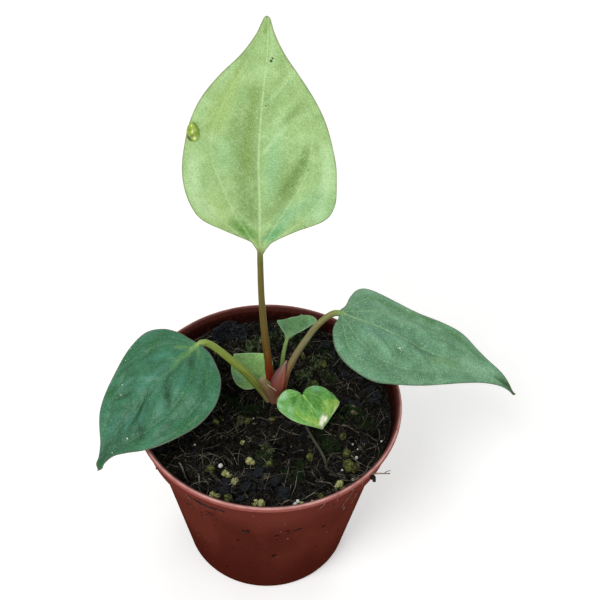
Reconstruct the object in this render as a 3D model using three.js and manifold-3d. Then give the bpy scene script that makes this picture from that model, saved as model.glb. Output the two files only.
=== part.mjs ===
import * as THREE from "three";
import { mergeVertices } from "three/addons/utils/BufferGeometryUtils.js";
import Module from "manifold-3d";

const wasm = await Module();
wasm.setup();

// A young anthurium in a 12 cm plastic nursery pot.
// Millimetres, +Z up, origin in the middle of the pot's underside, -Y towards the viewer.

const gap = 0.3; // left between pieces that touch

const pot = {
  height: 96,
  rimRadius: 60,
  lipHeight: 3,
  collarTopRadius: 59.2,
  collarFootRadius: 54.3,
  collarDepth: 25,
  wallTopRadius: 51.8,
  baseRadius: 39.6,
  footRounding: 2.2,
  wall: 1.8,
  segments: 60,
  drainHoles: 8,
  drainRadius: 4,
  drainCircle: 30,
};

const soil = {
  level: 88,
  segments: 60,
  rings: [53, 48.5, 43.5, 38.5, 33.5, 28.5, 23.5, 18.5, 13.5, 8.5, 4],
};

const crown = { x: 3.2, y: 4.6, radius: 5.2, rootTip: 60, top: 96.5, segments: 20 };

// Charcoal and bark lumps that stand out of the mix: x, y, radius
const lumps = [
  [-19, 47, 4.6],
  [-27, 41, 3.6],
  [39, 13, 4.2],
  [48.5, 6, 3.6],
  [-18, -40, 3.4],
  [-9, -38, 3],
  [-2, -33, 2.6],
  [30, 33, 3],
];

// Slow-release feed and grit grains on the surface: x, y, radius
const grains = [
  [-24, -8, 1.3],
  [-15, -5, 1.6],
  [-8, -8, 1.4],
  [-11, -17, 1.5],
  [-8, -28, 1.9],
  [-20, -34, 1.4],
  [-26, -31, 1.2],
  [-24, -45, 1.4],
  [-16, -48, 1.3],
  [-10, -47, 1.5],
  [-4, -50, 2.4],
  [12, -51, 1.2],
  [18, -49, 1.6],
  [23, -45, 1.3],
  [30, -41, 1.6],
  [35, -33, 2.4],
  [37, -20, 1.4],
  [-32, -22, 1.3],
  [-22, -27, 1.3],
];

// Each stem starts in the mix or the crown and ends at a blade; "facing" is the side
// from which angles round the stem are measured.
const stems = {
  petiole_left: {
    points: [
      [1.2, 3.1, 88.5],
      [-2.6, 3, 98.4],
      [-8.6, 3.2, 107.6],
      [-13.4, 3.7, 112.5],
      [-18.9, 4.6, 117.8],
      [-23.4, 5.2, 122],
      [-26.7, 5, 124.9],
      [-28.8, 4.1, 126],
      [-30.3, 2.8, 126],
    ],
    radii: [2, 1.45],
    rings: 20,
  },
  petiole_back: {
    points: [
      [2.6, 7.2, 88.5],
      [0.5, 8.4, 101],
      [-0.5, 10, 110.6],
      [-1.7, 12.5, 119.6],
      [-2.9, 16, 131.6],
      [-3.8, 19.8, 143.2],
      [-4.4, 24.9, 158.7],
    ],
    radii: [2.1, 1.4],
    rings: 14,
  },
  petiole_right: {
    points: [
      [5.4, 3.6, 88.5],
      [7.9, 4.9, 101],
      [10.8, 6.6, 107.4],
      [13.3, 9, 114.4],
      [16.4, 12, 121.2],
      [20.5, 15, 125.9],
      [25, 17.4, 129.3],
      [28.2, 18.3, 130.9],
      [30.6, 18.1, 131],
    ],
    radii: [2.1, 1.5],
    rings: 20,
  },
  stalk_small_left: {
    points: [
      [-1.4, 11.6, 82],
      [-1.4, 11.2, 90],
      [-2.7, 8.6, 95.6],
    ],
    radii: [0.9, 0.8],
    rings: 5,
  },
  stalk_small_back: {
    points: [
      [5.2, 12.4, 82],
      [5.3, 12.6, 92],
      [6.1, 16, 101.5],
      [6.8, 19.6, 105.2],
      [8.1, 24.3, 107.9],
    ],
    radii: [1.2, 0.85],
    rings: 10,
  },
  stalk_front: {
    points: [
      [26.4, -33, 81],
      [25.2, -31.1, 88],
      [23, -27, 91],
      [19.6, -21.6, 93],
      [16.6, -16, 95.4],
      [14.6, -9, 98.6],
      [14.3, -4, 101.1],
    ],
    radii: [0.9, 0.85],
    rings: 12,
  },
};
const stemSides = 10;
const facing = new THREE.Vector3(0, -1, 0);

// Papery sheaths that wrap the foot of a petiole, given as a part of its length
const sheaths = {
  sheath_left: { stem: "petiole_left", from: 0.05, to: 0.24, turn: -75, spread: 200 },
  sheath_right: { stem: "petiole_right", from: 0.06, to: 0.25, turn: -75, spread: 210 },
};
const sheathWall = 0.7;

// A blade starts at "base" on a midrib that runs at azimuth and pitch (degrees, first and
// last), rolled about it and arched across it (radians per mm). "sway" pushes the midrib
// sideways before and at the tip. The outlines run from the base to the tip as [along the
// midrib, out from it], left and right seen from above.
const blades = {
  blade_back: {
    base: [-4.4, 25, 159],
    length: 98,
    azimuth: [90, 90],
    pitch: [75, 70],
    roll: [0, 0],
    cup: 8,
    arch: 0,
    sway: [0, -2],
    ruffle: [0.5, 3],
    bulge: 1.9,
    left: [
      [0, 1.5],
      [5, 4.7],
      [11, 14],
      [17, 24.2],
      [24, 28.9],
      [33, 31.4],
      [43, 31.5],
      [57, 28.8],
      [67, 24.5],
      [76, 17.5],
      [84, 9.2],
      [91, 4],
      [98, 0.6],
    ],
    right: [
      [0, 1.5],
      [5, 5.4],
      [11, 14.6],
      [17, 26.6],
      [24, 30.8],
      [33, 31.2],
      [43, 30.2],
      [57, 26],
      [67, 20.7],
      [76, 14.3],
      [84, 8.2],
      [91, 3.9],
      [98, 0.6],
    ],
  },
  blade_left: {
    base: [-30.5, 2.6, 126],
    length: 68,
    azimuth: [-138, -136],
    pitch: [-6, -52],
    roll: [0, 0],
    cup: 6,
    arch: 0.018,
    sway: [0, 2.8],
    ruffle: [0.5, 4],
    bulge: 1.8,
    left: [
      [0, 1.5],
      [-0.6, 6.8],
      [0.5, 12],
      [4.4, 20.4],
      [12, 26.4],
      [21, 28.2],
      [30, 26.7],
      [40, 22.3],
      [48, 16.4],
      [54.5, 9.2],
      [59, 4.8],
      [64, 2.4],
      [68, 0.6],
    ],
    right: [
      [0, 1.5],
      [0.7, 6.4],
      [1.8, 12.5],
      [4.4, 20.4],
      [10, 25.2],
      [20, 23.8],
      [30, 21],
      [40, 17.6],
      [48, 13.2],
      [54.5, 8],
      [59, 4.8],
      [64, 2.7],
      [68, 0.6],
    ],
  },
  blade_right: {
    base: [30.9, 18.1, 131],
    length: 90.5,
    azimuth: [-6, -14],
    pitch: [-18, -30],
    roll: [0, 12],
    cup: 0,
    arch: 0.012,
    sway: [3, 0.4],
    ruffle: [0.5, 4],
    bulge: 1.8,
    left: [
      [0, 1.5],
      [2.2, 6],
      [4.4, 14],
      [8, 21.4],
      [14, 24.2],
      [26, 22.4],
      [38, 19.8],
      [50, 18.4],
      [60, 16.2],
      [68, 11],
      [75, 6.4],
      [83, 3.3],
      [90.5, 0.6],
    ],
    right: [
      [0, 1.5],
      [-1, 4.4],
      [-2.4, 11],
      [0.4, 19.6],
      [8, 25.4],
      [20, 27.8],
      [32, 24.6],
      [44, 20.2],
      [54, 15.8],
      [64, 11],
      [73, 6.6],
      [82, 3],
      [90.5, 0.6],
    ],
  },
  blade_small_left: {
    base: [-3.1, 7.6, 96.5],
    length: 19.6,
    azimuth: [133, 133],
    pitch: [10, 14],
    roll: [-20, -20],
    cup: 4,
    arch: 0.012,
    sway: [0, 0],
    ruffle: [0.2, 3],
    bulge: 1,
    left: [
      [0, 0.9],
      [0.4, 4],
      [3, 7.6],
      [7, 8.8],
      [11.5, 7.8],
      [15.5, 5.2],
      [18, 2],
      [19.6, 0.5],
    ],
    right: [
      [0, 0.9],
      [0.6, 5],
      [3, 9.4],
      [7.4, 11.4],
      [11, 9.4],
      [14.5, 6],
      [17.4, 2.6],
      [19.6, 0.5],
    ],
  },
  blade_small_back: {
    base: [8.3, 25, 108],
    length: 13.4,
    azimuth: [59, 59],
    pitch: [14, 22],
    roll: [0, 0],
    cup: 6,
    arch: 0.02,
    sway: [0, 0],
    ruffle: [0.2, 3],
    bulge: 1,
    left: [
      [0, 0.9],
      [1.2, 3],
      [3.6, 6.4],
      [5.8, 9],
      [8.6, 7.2],
      [11.4, 3.6],
      [13.4, 0.4],
    ],
    right: [
      [0, 0.9],
      [1.6, 2],
      [4.7, 4.2],
      [8.6, 6],
      [12.6, 6.8],
      [14.2, 3.8],
      [13.4, 0.4],
    ],
  },
  blade_front: {
    base: [14.2, -3.4, 102],
    length: 18.4,
    azimuth: [-58, -58],
    pitch: [-14, -24],
    roll: [0, 0],
    cup: 5,
    arch: 0.03,
    sway: [0, 0],
    ruffle: [0.3, 3],
    bulge: 0.7,
    left: [
      [-0.9, 2.6],
      [-1.5, 5.2],
      [-0.6, 8.6],
      [2.2, 11.6],
      [7, 14.4],
      [11.4, 14],
      [14.4, 9.6],
      [16.8, 4.8],
      [18.4, 0.4],
    ],
    right: [
      [-2.8, 1.9],
      [-4.3, 4],
      [-4.4, 7.2],
      [-2.6, 10.6],
      [1.6, 13],
      [7, 12.4],
      [11.6, 9],
      [15.4, 5],
      [18.4, 0.4],
    ],
  },
};
const largeGrid = { along: 24, across: 3 };
const smallGrid = { along: 14, across: 2 };
const bladeEdge = 0.7; // thickness at the margin
const bladeRib = 1.1; // thickness along the midrib
const bulgeReach = 3.5; // how far the swelling at the blade's base spreads

const looks = {
  pot: ["#8f3f31", 0.55],
  growing_mix: ["#2b221b", 0.95],
  crown: ["#a5463c", 0.55],
  petiole_left: ["#98a046", 0.45],
  petiole_back: ["#86703a", 0.45],
  petiole_right: ["#8c8668", 0.45],
  sheath_left: ["#8b6f57", 0.7],
  sheath_right: ["#b5574e", 0.55],
  stalk_small_left: ["#93b45c", 0.5],
  stalk_small_back: ["#9dbb62", 0.5],
  stalk_front: ["#7a7444", 0.55],
  blade_left: ["#35705a", 0.45],
  blade_back: ["#a5c47c", 0.55],
  blade_right: ["#5f936d", 0.5],
  blade_small_left: ["#83b765", 0.5],
  blade_small_back: ["#6fa466", 0.5],
  blade_front: ["#74b848", 0.45],
};

const plant = new THREE.Group();

function addPiece(name, geometry) {
  const [color, roughness] = looks[name];
  const material = new THREE.MeshStandardMaterial({ color, roughness, metalness: 0 });
  const mesh = new THREE.Mesh(geometry, material);
  mesh.name = name;
  plant.add(mesh);
}

// Closed geometry to a solid and back

function solidOf(geometry) {
  const bare = geometry.clone();
  bare.deleteAttribute("normal");
  bare.deleteAttribute("uv");
  const merged = mergeVertices(bare, 1e-4);
  const corners = merged.index.array;
  const kept = [];
  for (let i = 0; i < corners.length; i += 3) {
    const [a, b, c] = corners.slice(i, i + 3);
    if (a !== b && b !== c && c !== a) kept.push(a, b, c);
  }
  const vertProperties = Float32Array.from(merged.attributes.position.array);
  const triVerts = Uint32Array.from(kept);
  return new wasm.Manifold(new wasm.Mesh({ numProp: 3, vertProperties, triVerts }));
}

function geometryOf(solid) {
  const mesh = solid.getMesh();
  const positions = [];
  for (const corner of mesh.triVerts) {
    positions.push(...mesh.vertProperties.slice(corner * mesh.numProp, corner * mesh.numProp + 3));
  }
  const geometry = new THREE.BufferGeometry();
  geometry.setAttribute("position", new THREE.Float32BufferAttribute(positions, 3));
  geometry.computeVertexNormals();
  return geometry;
}

// Largest body of a solid that a cut may have left in several
function largestOf(solid) {
  const bodies = solid.decompose();
  return bodies.reduce((best, body) => (body.volume() > best.volume() ? body : best));
}

function turned(profile, segments) {
  const points = profile.map(([radius, height]) => new THREE.Vector2(radius, height));
  return new THREE.LatheGeometry(points, segments).rotateX(Math.PI / 2);
}

// Pot: tapered wall, a wider collar with a rounded lip, a floor with drain holes

const wallFoot = pot.height - pot.collarDepth;

function wallRadiusAt(z) {
  return pot.baseRadius + ((pot.wallTopRadius - pot.baseRadius) * z) / wallFoot;
}

function collarRadiusAt(z) {
  const rise = (z - wallFoot) / (pot.collarDepth - pot.lipHeight);
  return pot.collarFootRadius + (pot.collarTopRadius - pot.collarFootRadius) * rise;
}

function potGeometry() {
  const { height, rimRadius, lipHeight, footRounding, wall } = pot;
  const lipFoot = height - lipHeight;
  const foot = [0, 30, 60, 90].map((degrees) => {
    const angle = THREE.MathUtils.degToRad(degrees);
    return [
      wallRadiusAt(footRounding) - footRounding + footRounding * Math.sin(angle),
      footRounding - footRounding * Math.cos(angle),
    ];
  });
  const outside = [
    [0, 0],
    ...foot,
    [pot.wallTopRadius, wallFoot],
    [pot.collarFootRadius, wallFoot],
    [pot.collarTopRadius, lipFoot],
    [rimRadius, lipFoot + 0.6],
    [rimRadius, height - 0.8],
    [rimRadius - 0.8, height],
  ];
  const inside = [
    [rimRadius - 2, height],
    [collarRadiusAt(lipFoot) - wall, lipFoot],
    [collarRadiusAt(wallFoot + wall) - wall, wallFoot + wall],
    [pot.wallTopRadius - wall, wallFoot - 0.6],
    [wallRadiusAt(wall) - wall, wall],
    [0, wall],
  ];
  let body = solidOf(turned([...outside, ...inside], pot.segments));
  for (let i = 0; i < pot.drainHoles; i++) {
    const angle = ((i + 0.5) * 2 * Math.PI) / pot.drainHoles;
    const hole = new THREE.CylinderGeometry(pot.drainRadius, pot.drainRadius, 3 * wall, 14)
      .rotateX(Math.PI / 2)
      .translate(pot.drainCircle * Math.cos(angle), pot.drainCircle * Math.sin(angle), wall / 2);
    body = body.subtract(solidOf(hole));
  }
  return geometryOf(body);
}

// Growing mix: fills the pot, with an uneven surface, lumps and grains

function relief(x, y) {
  const swell = 0.9 * Math.sin(0.11 * x + 1.3) * Math.cos(0.13 * y - 0.6);
  const clods = 0.7 * Math.sin(0.43 * x - 0.31 * y + 2.1) + 0.6 * Math.sin(0.37 * x + 0.52 * y);
  const crumbs = 0.4 * Math.sin(0.9 * x + 0.7 * y + 0.8) * Math.sin(0.8 * y - 0.6 * x);
  const mound = 1.6 * Math.exp(-(((x - crown.x) ** 2 + (y - crown.y) ** 2) / 500));
  return swell + clods + crumbs + mound - 0.6;
}

// A grain or lump, turned by its own place so that no two lie alike
function rock(x, y, radius, squash, sink) {
  const shape = new THREE.IcosahedronGeometry(radius, 0);
  return solidOf(
    shape
      .rotateX(x)
      .rotateZ(y)
      .scale(1, 1, squash)
      .translate(x, y, soil.level + relief(x, y) + radius * sink),
  );
}

function mixSolid() {
  const inner = wallFoot + pot.wall;
  const topRadius = collarRadiusAt(soil.level) - pot.wall - gap;
  const floor = pot.wall + gap;
  const profile = [
    [0, floor],
    [wallRadiusAt(floor) - pot.wall - gap, floor],
    [pot.wallTopRadius - pot.wall - gap, wallFoot - 0.6],
    [collarRadiusAt(inner) - pot.wall - gap, inner + gap],
    [topRadius, soil.level],
    ...soil.rings.map((radius) => [radius, soil.level]),
    [0, soil.level],
  ];
  const geometry = turned(profile, soil.segments);
  const position = geometry.attributes.position;
  for (let i = 0; i < position.count; i++) {
    if (position.getZ(i) < soil.level - 0.01) continue;
    const x = position.getX(i);
    const y = position.getY(i);
    const inland = Math.min(1, (topRadius - Math.hypot(x, y)) / 4);
    position.setZ(i, soil.level + relief(x, y) * inland);
  }
  let body = solidOf(geometry);
  for (const [x, y, radius] of lumps) body = body.add(rock(x, y, radius, 0.7, 0.1));
  for (const [x, y, radius] of grains) body = body.add(rock(x, y, radius, 0.9, 0.5));
  return body;
}

// Stems: round tubes that taper along a curve, closed at both ends

function gridFaces(rows, columns, first, flip) {
  const faces = [];
  for (let i = 0; i < rows - 1; i++) {
    for (let j = 0; j < columns - 1; j++) {
      const a = first + i * columns + j;
      const b = a + 1;
      const c = a + columns;
      const d = c + 1;
      if (flip) faces.push(a, b, d, a, d, c);
      else faces.push(a, d, b, a, c, d);
    }
  }
  return faces;
}

function meshOf(points, faces) {
  const geometry = new THREE.BufferGeometry();
  const positions = points.flatMap((point) => [point.x, point.y, point.z]);
  geometry.setAttribute("position", new THREE.Float32BufferAttribute(positions, 3));
  geometry.setIndex(faces);
  return geometry;
}

// Centre, sideways and forward directions at a part of the stem's length
function stemFrame(stem, part) {
  const route = new THREE.CatmullRomCurve3(
    stem.points.map((point) => new THREE.Vector3(...point)),
    false,
    "catmullrom",
  );
  const tangent = route.getTangent(part);
  const front = facing.clone().addScaledVector(tangent, -facing.dot(tangent)).normalize();
  const side = tangent.clone().cross(front);
  return { centre: route.getPoint(part), tangent, front, side };
}

function aroundStem(frame, angle, radius) {
  return frame.centre
    .clone()
    .addScaledVector(frame.front, radius * Math.cos(angle))
    .addScaledVector(frame.side, radius * Math.sin(angle));
}

function stemRadius(stem, part) {
  return THREE.MathUtils.lerp(stem.radii[0], stem.radii[1], part);
}

function stemGeometry(stem, grow = 0) {
  const around = [];
  const ends = [];
  for (let i = 0; i <= stem.rings; i++) {
    const part = i / stem.rings;
    const frame = stemFrame(stem, part);
    if (i === 0) frame.centre.addScaledVector(frame.tangent, -grow);
    if (i === stem.rings) frame.centre.addScaledVector(frame.tangent, grow);
    if (i === 0 || i === stem.rings) ends.push(frame.centre);
    for (let j = 0; j <= stemSides; j++) {
      const angle = ((j % stemSides) * 2 * Math.PI) / stemSides;
      around.push(aroundStem(frame, angle, stemRadius(stem, part) + grow));
    }
  }
  const columns = stemSides + 1;
  const lastRing = stem.rings * columns;
  const faces = gridFaces(stem.rings + 1, columns, 0, true);
  for (let j = 0; j < stemSides; j++) {
    faces.push(j + 1, j, around.length);
    faces.push(lastRing + j, lastRing + j + 1, around.length + 1);
  }
  return meshOf([...around, ...ends], faces);
}

// Two alike grids of points, face to face, closed round their edge
function slab(top, bottom, rows, columns) {
  const count = rows * columns;
  const faces = [...gridFaces(rows, columns, 0, true), ...gridFaces(rows, columns, count, false)];
  const edge = [];
  for (let j = 0; j < columns - 1; j++) edge.push(j);
  for (let i = 0; i < rows - 1; i++) edge.push(i * columns + columns - 1);
  for (let j = columns - 1; j > 0; j--) edge.push((rows - 1) * columns + j);
  for (let i = rows - 1; i > 0; i--) edge.push(i * columns);
  edge.forEach((here, index) => {
    const next = edge[(index + 1) % edge.length];
    faces.push(here, here + count, next + count, here, next + count, next);
  });
  return meshOf([...top, ...bottom], faces);
}

function sheathGeometry(sheath, grow = 0) {
  const stem = stems[sheath.stem];
  const rows = 9;
  const columns = 9;
  const outer = [];
  const inner = [];
  for (let i = 0; i < rows; i++) {
    const along = i / (rows - 1);
    const part = THREE.MathUtils.lerp(sheath.from, sheath.to, along);
    const frame = stemFrame(stem, part);
    const width = sheath.spread * Math.sqrt(1 - 0.985 * along * along);
    const radius = stemRadius(stem, part) + gap;
    for (let j = 0; j < columns; j++) {
      const degrees = sheath.turn + width * (j / (columns - 1) - 0.5);
      const angle = THREE.MathUtils.degToRad(degrees);
      outer.push(aroundStem(frame, angle, radius + sheathWall + grow));
      inner.push(aroundStem(frame, angle, radius - grow));
    }
  }
  return slab(outer, inner, rows, columns);
}

// Blades: flat outline points carried onto the bent and arched surface

function midribAt(blade, along) {
  const steps = 48;
  const part = THREE.MathUtils.clamp(along / blade.length, 0, 1);
  const heading = (t) => {
    const pitch = THREE.MathUtils.degToRad(THREE.MathUtils.lerp(...blade.pitch, t));
    const azimuth = THREE.MathUtils.degToRad(THREE.MathUtils.lerp(...blade.azimuth, t));
    const level = Math.cos(pitch);
    return new THREE.Vector3(
      level * Math.cos(azimuth),
      level * Math.sin(azimuth),
      Math.sin(pitch),
    );
  };
  const point = new THREE.Vector3(...blade.base);
  for (let i = 0; i < steps; i++) {
    const step = (part * blade.length) / steps;
    point.addScaledVector(heading((part * (i + 0.5)) / steps), step);
  }
  const ahead = heading(part);
  point.addScaledVector(ahead, along - part * blade.length);
  const level = new THREE.Vector3(-ahead.y, ahead.x, 0).normalize();
  const roll = THREE.MathUtils.degToRad(THREE.MathUtils.lerp(...blade.roll, part));
  const left = level.applyAxisAngle(ahead, roll);
  return { point, left, up: ahead.clone().cross(left) };
}

function bladePoint(blade, x, y, u, v, side) {
  const part = THREE.MathUtils.clamp(x / blade.length, 0, 1);
  const [swing, hook] = blade.sway;
  const across = y + swing * Math.sin(Math.PI * part ** 4) + hook * part ** 3;
  const { point, left, up } = midribAt(blade, x);
  const out = Math.sign(across) || 1;
  const reach = Math.abs(across);
  const cup = THREE.MathUtils.degToRad(blade.cup);
  const lean = cup - blade.arch * reach;
  const bent = blade.arch > 0;
  const sideways = bent ? (Math.sin(cup) - Math.sin(lean)) / blade.arch : reach * Math.cos(cup);
  const lift = bent ? (Math.cos(lean) - Math.cos(cup)) / blade.arch : reach * Math.sin(cup);
  const [height, waves] = blade.ruffle;
  const ruffle = height * Math.sin(2 * Math.PI * waves * u + side) * v * v;
  const tilt = reach < 0.5 ? 0 : lean;
  const normal = up
    .clone()
    .multiplyScalar(Math.cos(tilt))
    .addScaledVector(left, -out * Math.sin(tilt));
  point.addScaledVector(left, out * sideways).addScaledVector(up, lift);
  return { point: point.addScaledVector(normal, ruffle), normal };
}

function bladeGeometry(blade, grow = 0) {
  const { along, across } = blade.length > 40 ? largeGrid : smallGrid;
  const margins = [blade.left, blade.right].map(
    (outline) => new THREE.SplineCurve(outline.map((point) => new THREE.Vector2(...point))),
  );
  const top = [];
  const bottom = [];
  for (let i = 0; i <= along; i++) {
    const u = i / along;
    for (let j = -across; j <= across; j++) {
      const v = Math.abs(j) / across;
      const side = j < 0 ? 1 : -1;
      const margin = margins[j < 0 ? 0 : 1].getPoint(u);
      const x = THREE.MathUtils.lerp(u * blade.length, margin.x, v);
      const y = side * v * margin.y;
      const { point, normal } = bladePoint(blade, x, y, u, v, side);
      const nearBase = Math.exp(-(x * x + y * y) / bulgeReach ** 2);
      const flat = bladeEdge + (bladeRib - bladeEdge) * (1 - v) ** 2;
      const half = (flat + blade.bulge * nearBase) / 2 + grow;
      top.push(point.clone().addScaledVector(normal, half));
      bottom.push(point.clone().addScaledVector(normal, -half));
    }
  }
  return slab(top, bottom, along + 1, 2 * across + 1);
}

// Crown: the short rooted stem with the petiole feet set in its top

function crownGeometry(grow) {
  const { rootTip, radius, top } = crown;
  const profile = [
    [0, rootTip - grow],
    [2.2 + grow, rootTip + 1],
    [radius - 1.2 + grow, rootTip + 12],
    [radius + grow, rootTip + 24],
    [radius + grow, top - 7],
    [radius - 0.8 + grow, top - 3],
    [radius - 2.6 + grow, top - 0.6],
    [0, top + grow],
  ];
  return turned(profile, crown.segments).translate(crown.x, crown.y, 0);
}

const grownStems = Object.values(stems).map((stem) => solidOf(stemGeometry(stem, gap)));
const grownSheaths = Object.values(sheaths).map((sheath) => solidOf(sheathGeometry(sheath, gap)));

let crownSolid = solidOf(crownGeometry(0));
for (const piece of [...grownStems, ...grownSheaths]) crownSolid = crownSolid.subtract(piece);

let mix = mixSolid().subtract(solidOf(crownGeometry(gap)));
for (const piece of grownStems) mix = mix.subtract(piece);

addPiece("pot", potGeometry());
addPiece("growing_mix", geometryOf(largestOf(mix)));
addPiece("crown", geometryOf(largestOf(crownSolid)));
for (const [name, stem] of Object.entries(stems)) {
  let tube = solidOf(stemGeometry(stem));
  for (const blade of Object.values(blades)) tube = tube.subtract(solidOf(bladeGeometry(blade, gap)));
  addPiece(name, geometryOf(largestOf(tube)));
}
for (const [name, sheath] of Object.entries(sheaths)) addPiece(name, sheathGeometry(sheath));
for (const [name, blade] of Object.entries(blades)) addPiece(name, bladeGeometry(blade));

export default plant;
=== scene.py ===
import math

import bpy
import numpy as np
from mathutils import Euler, Matrix, Vector, noise


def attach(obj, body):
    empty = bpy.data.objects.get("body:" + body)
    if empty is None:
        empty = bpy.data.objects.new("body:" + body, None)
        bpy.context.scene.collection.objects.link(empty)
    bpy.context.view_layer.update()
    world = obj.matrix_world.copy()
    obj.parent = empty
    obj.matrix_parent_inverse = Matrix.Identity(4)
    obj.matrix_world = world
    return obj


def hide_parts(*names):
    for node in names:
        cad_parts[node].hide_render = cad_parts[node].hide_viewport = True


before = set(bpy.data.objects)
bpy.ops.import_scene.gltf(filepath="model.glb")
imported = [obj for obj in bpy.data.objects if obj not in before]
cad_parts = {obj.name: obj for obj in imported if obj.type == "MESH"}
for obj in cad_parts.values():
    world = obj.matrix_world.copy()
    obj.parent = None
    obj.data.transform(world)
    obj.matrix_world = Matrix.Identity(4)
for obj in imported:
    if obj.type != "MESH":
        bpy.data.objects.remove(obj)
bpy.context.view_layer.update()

mm = 0.001
dice = np.random.default_rng(11)
noise.seed_set(11)  # else noise_vector changes from run to run


# Small tools for picking, shaping and finishing meshes

def unpickAll():
    if bpy.context.object and bpy.context.object.mode != "OBJECT":
        bpy.ops.object.mode_set(mode="OBJECT")
    bpy.ops.object.select_all(action="DESELECT")


def pick(*things):
    unpickAll()
    for thing in things:
        thing.select_set(True)
    bpy.context.view_layer.objects.active = things[0]


def startPiece(name):  # names the primitive that was just added and puts its place in its mesh
    piece = bpy.context.object
    piece.name = name
    piece.data.name = name
    bpy.ops.object.transform_apply(location=True, rotation=True, scale=True)
    return piece


def editAll():
    bpy.ops.object.mode_set(mode="EDIT")
    bpy.ops.mesh.select_all(action="SELECT")


def leaveEdit():
    bpy.ops.object.mode_set(mode="OBJECT")


def smoothUpTo(degrees):  # smooths the picked piece where its faces meet at less than this angle
    bpy.ops.object.shade_smooth_by_angle(angle=math.radians(degrees))


def applyModifiers(piece):
    pick(piece)
    for modifier in list(piece.modifiers):
        bpy.ops.object.modifier_apply(modifier=modifier.name)


def corners(piece):
    spots = np.zeros(len(piece.data.vertices) * 3, np.float32)
    piece.data.vertices.foreach_get("co", spots)
    return spots.reshape(-1, 3).astype(float)


def shape(piece, spots):  # moves every vertex to its new spot, given in metres
    piece.data.vertices.foreach_set("co", np.asarray(spots, np.float32).ravel())
    piece.data.update()


def note(piece, name, values):  # keeps a number or three for each vertex, for the materials
    values = np.asarray(values, np.float32)
    kind, field = ("FLOAT", "value") if values.ndim == 1 else ("FLOAT_VECTOR", "vector")
    attribute = piece.data.attributes.new(name, kind, "POINT")
    attribute.data.foreach_set(field, values.ravel())


def tidyNormals(piece, angle=40):
    pick(piece)
    editAll()
    bpy.ops.mesh.remove_doubles(threshold=0.000001)
    bpy.ops.mesh.normals_make_consistent(inside=False)
    leaveEdit()
    smoothUpTo(angle)


def settle(piece, finishes, slotName, *nodes):  # gives a finished piece its materials and body; slotName is not used
    piece.data.materials.clear()
    for finish in finishes:
        piece.data.materials.append(finish.material)
    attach(piece, "root")
    if nodes:
        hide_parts(*nodes)
    print(piece.name, "has", len(piece.data.polygons), "faces")


def unit(rows):
    return rows / np.linalg.norm(rows, axis=-1, keepdims=True)


def between(low, high, values):  # smooth step from 0 at low to 1 at high
    share = np.clip((values - low) / (high - low), 0, 1)
    return share * share * (3 - 2 * share)


def bell(away, reach):  # 1 in the middle, and next to nothing past twice the reach
    return np.exp(-((away / reach) ** 2))


def smoothLine(points, parts, openEnds=False):  # a curve through the points; parts run from 0 to 1
    knots = np.array(points, float)
    last = len(knots) - 1
    start = 2 * knots[0] - knots[1] if openEnds else knots[0]
    end = 2 * knots[-1] - knots[-2] if openEnds else knots[-1]
    padded = np.vstack([start, knots, end])
    place = np.clip(np.atleast_1d(parts), 0, 1) * last
    piece = np.minimum(place.astype(int), last - 1)
    t = (place - piece)[:, None]
    before, a, b, after = (padded[piece + k] for k in range(4))
    leave = (b - before) / 2
    arrive = (after - a) / 2
    cube = 2 * a - 2 * b + leave + arrive
    square = 3 * b - 3 * a - 2 * leave - arrive
    return cube * t**3 + square * t**2 + leave * t + a


# Materials: node outputs that add up as plain sums

def tint(code):  # a web colour as the shader's own numbers
    parts = [int(code[k : k + 2], 16) / 255 for k in (1, 3, 5)]
    return tuple(p / 12.92 if p <= 0.04045 else ((p + 0.055) / 1.055) ** 2.4 for p in parts)


class Value:
    def __init__(self, finish, socket):
        self.finish = finish
        self.socket = socket

    def sum(self, operation, first, second):
        return self.finish.node("ShaderNodeMath", {"operation": operation}, {0: first, 1: second})

    def __add__(self, other):
        return self.sum("ADD", self, other)

    def __radd__(self, other):
        return self.sum("ADD", other, self)

    def __sub__(self, other):
        return self.sum("SUBTRACT", self, other)

    def __rsub__(self, other):
        return self.sum("SUBTRACT", other, self)

    def __mul__(self, other):
        return self.sum("MULTIPLY", self, other)

    def __rmul__(self, other):
        return self.sum("MULTIPLY", other, self)

    def __truediv__(self, other):
        return self.sum("DIVIDE", self, other)

    def __pow__(self, other):
        return self.sum("POWER", self, other)

    def step(self, low, high, first=0.0, last=1.0):  # smooth step from first at low to last at high
        inputs = {0: self, 1: low, 2: high, 3: first, 4: last}
        return self.finish.node("ShaderNodeMapRange", {"interpolation_type": "SMOOTHSTEP"}, inputs)

    def part(self, axis):  # one axis of a vector
        return self.finish.node("ShaderNodeSeparateXYZ", {}, {0: self}, axis)


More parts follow.
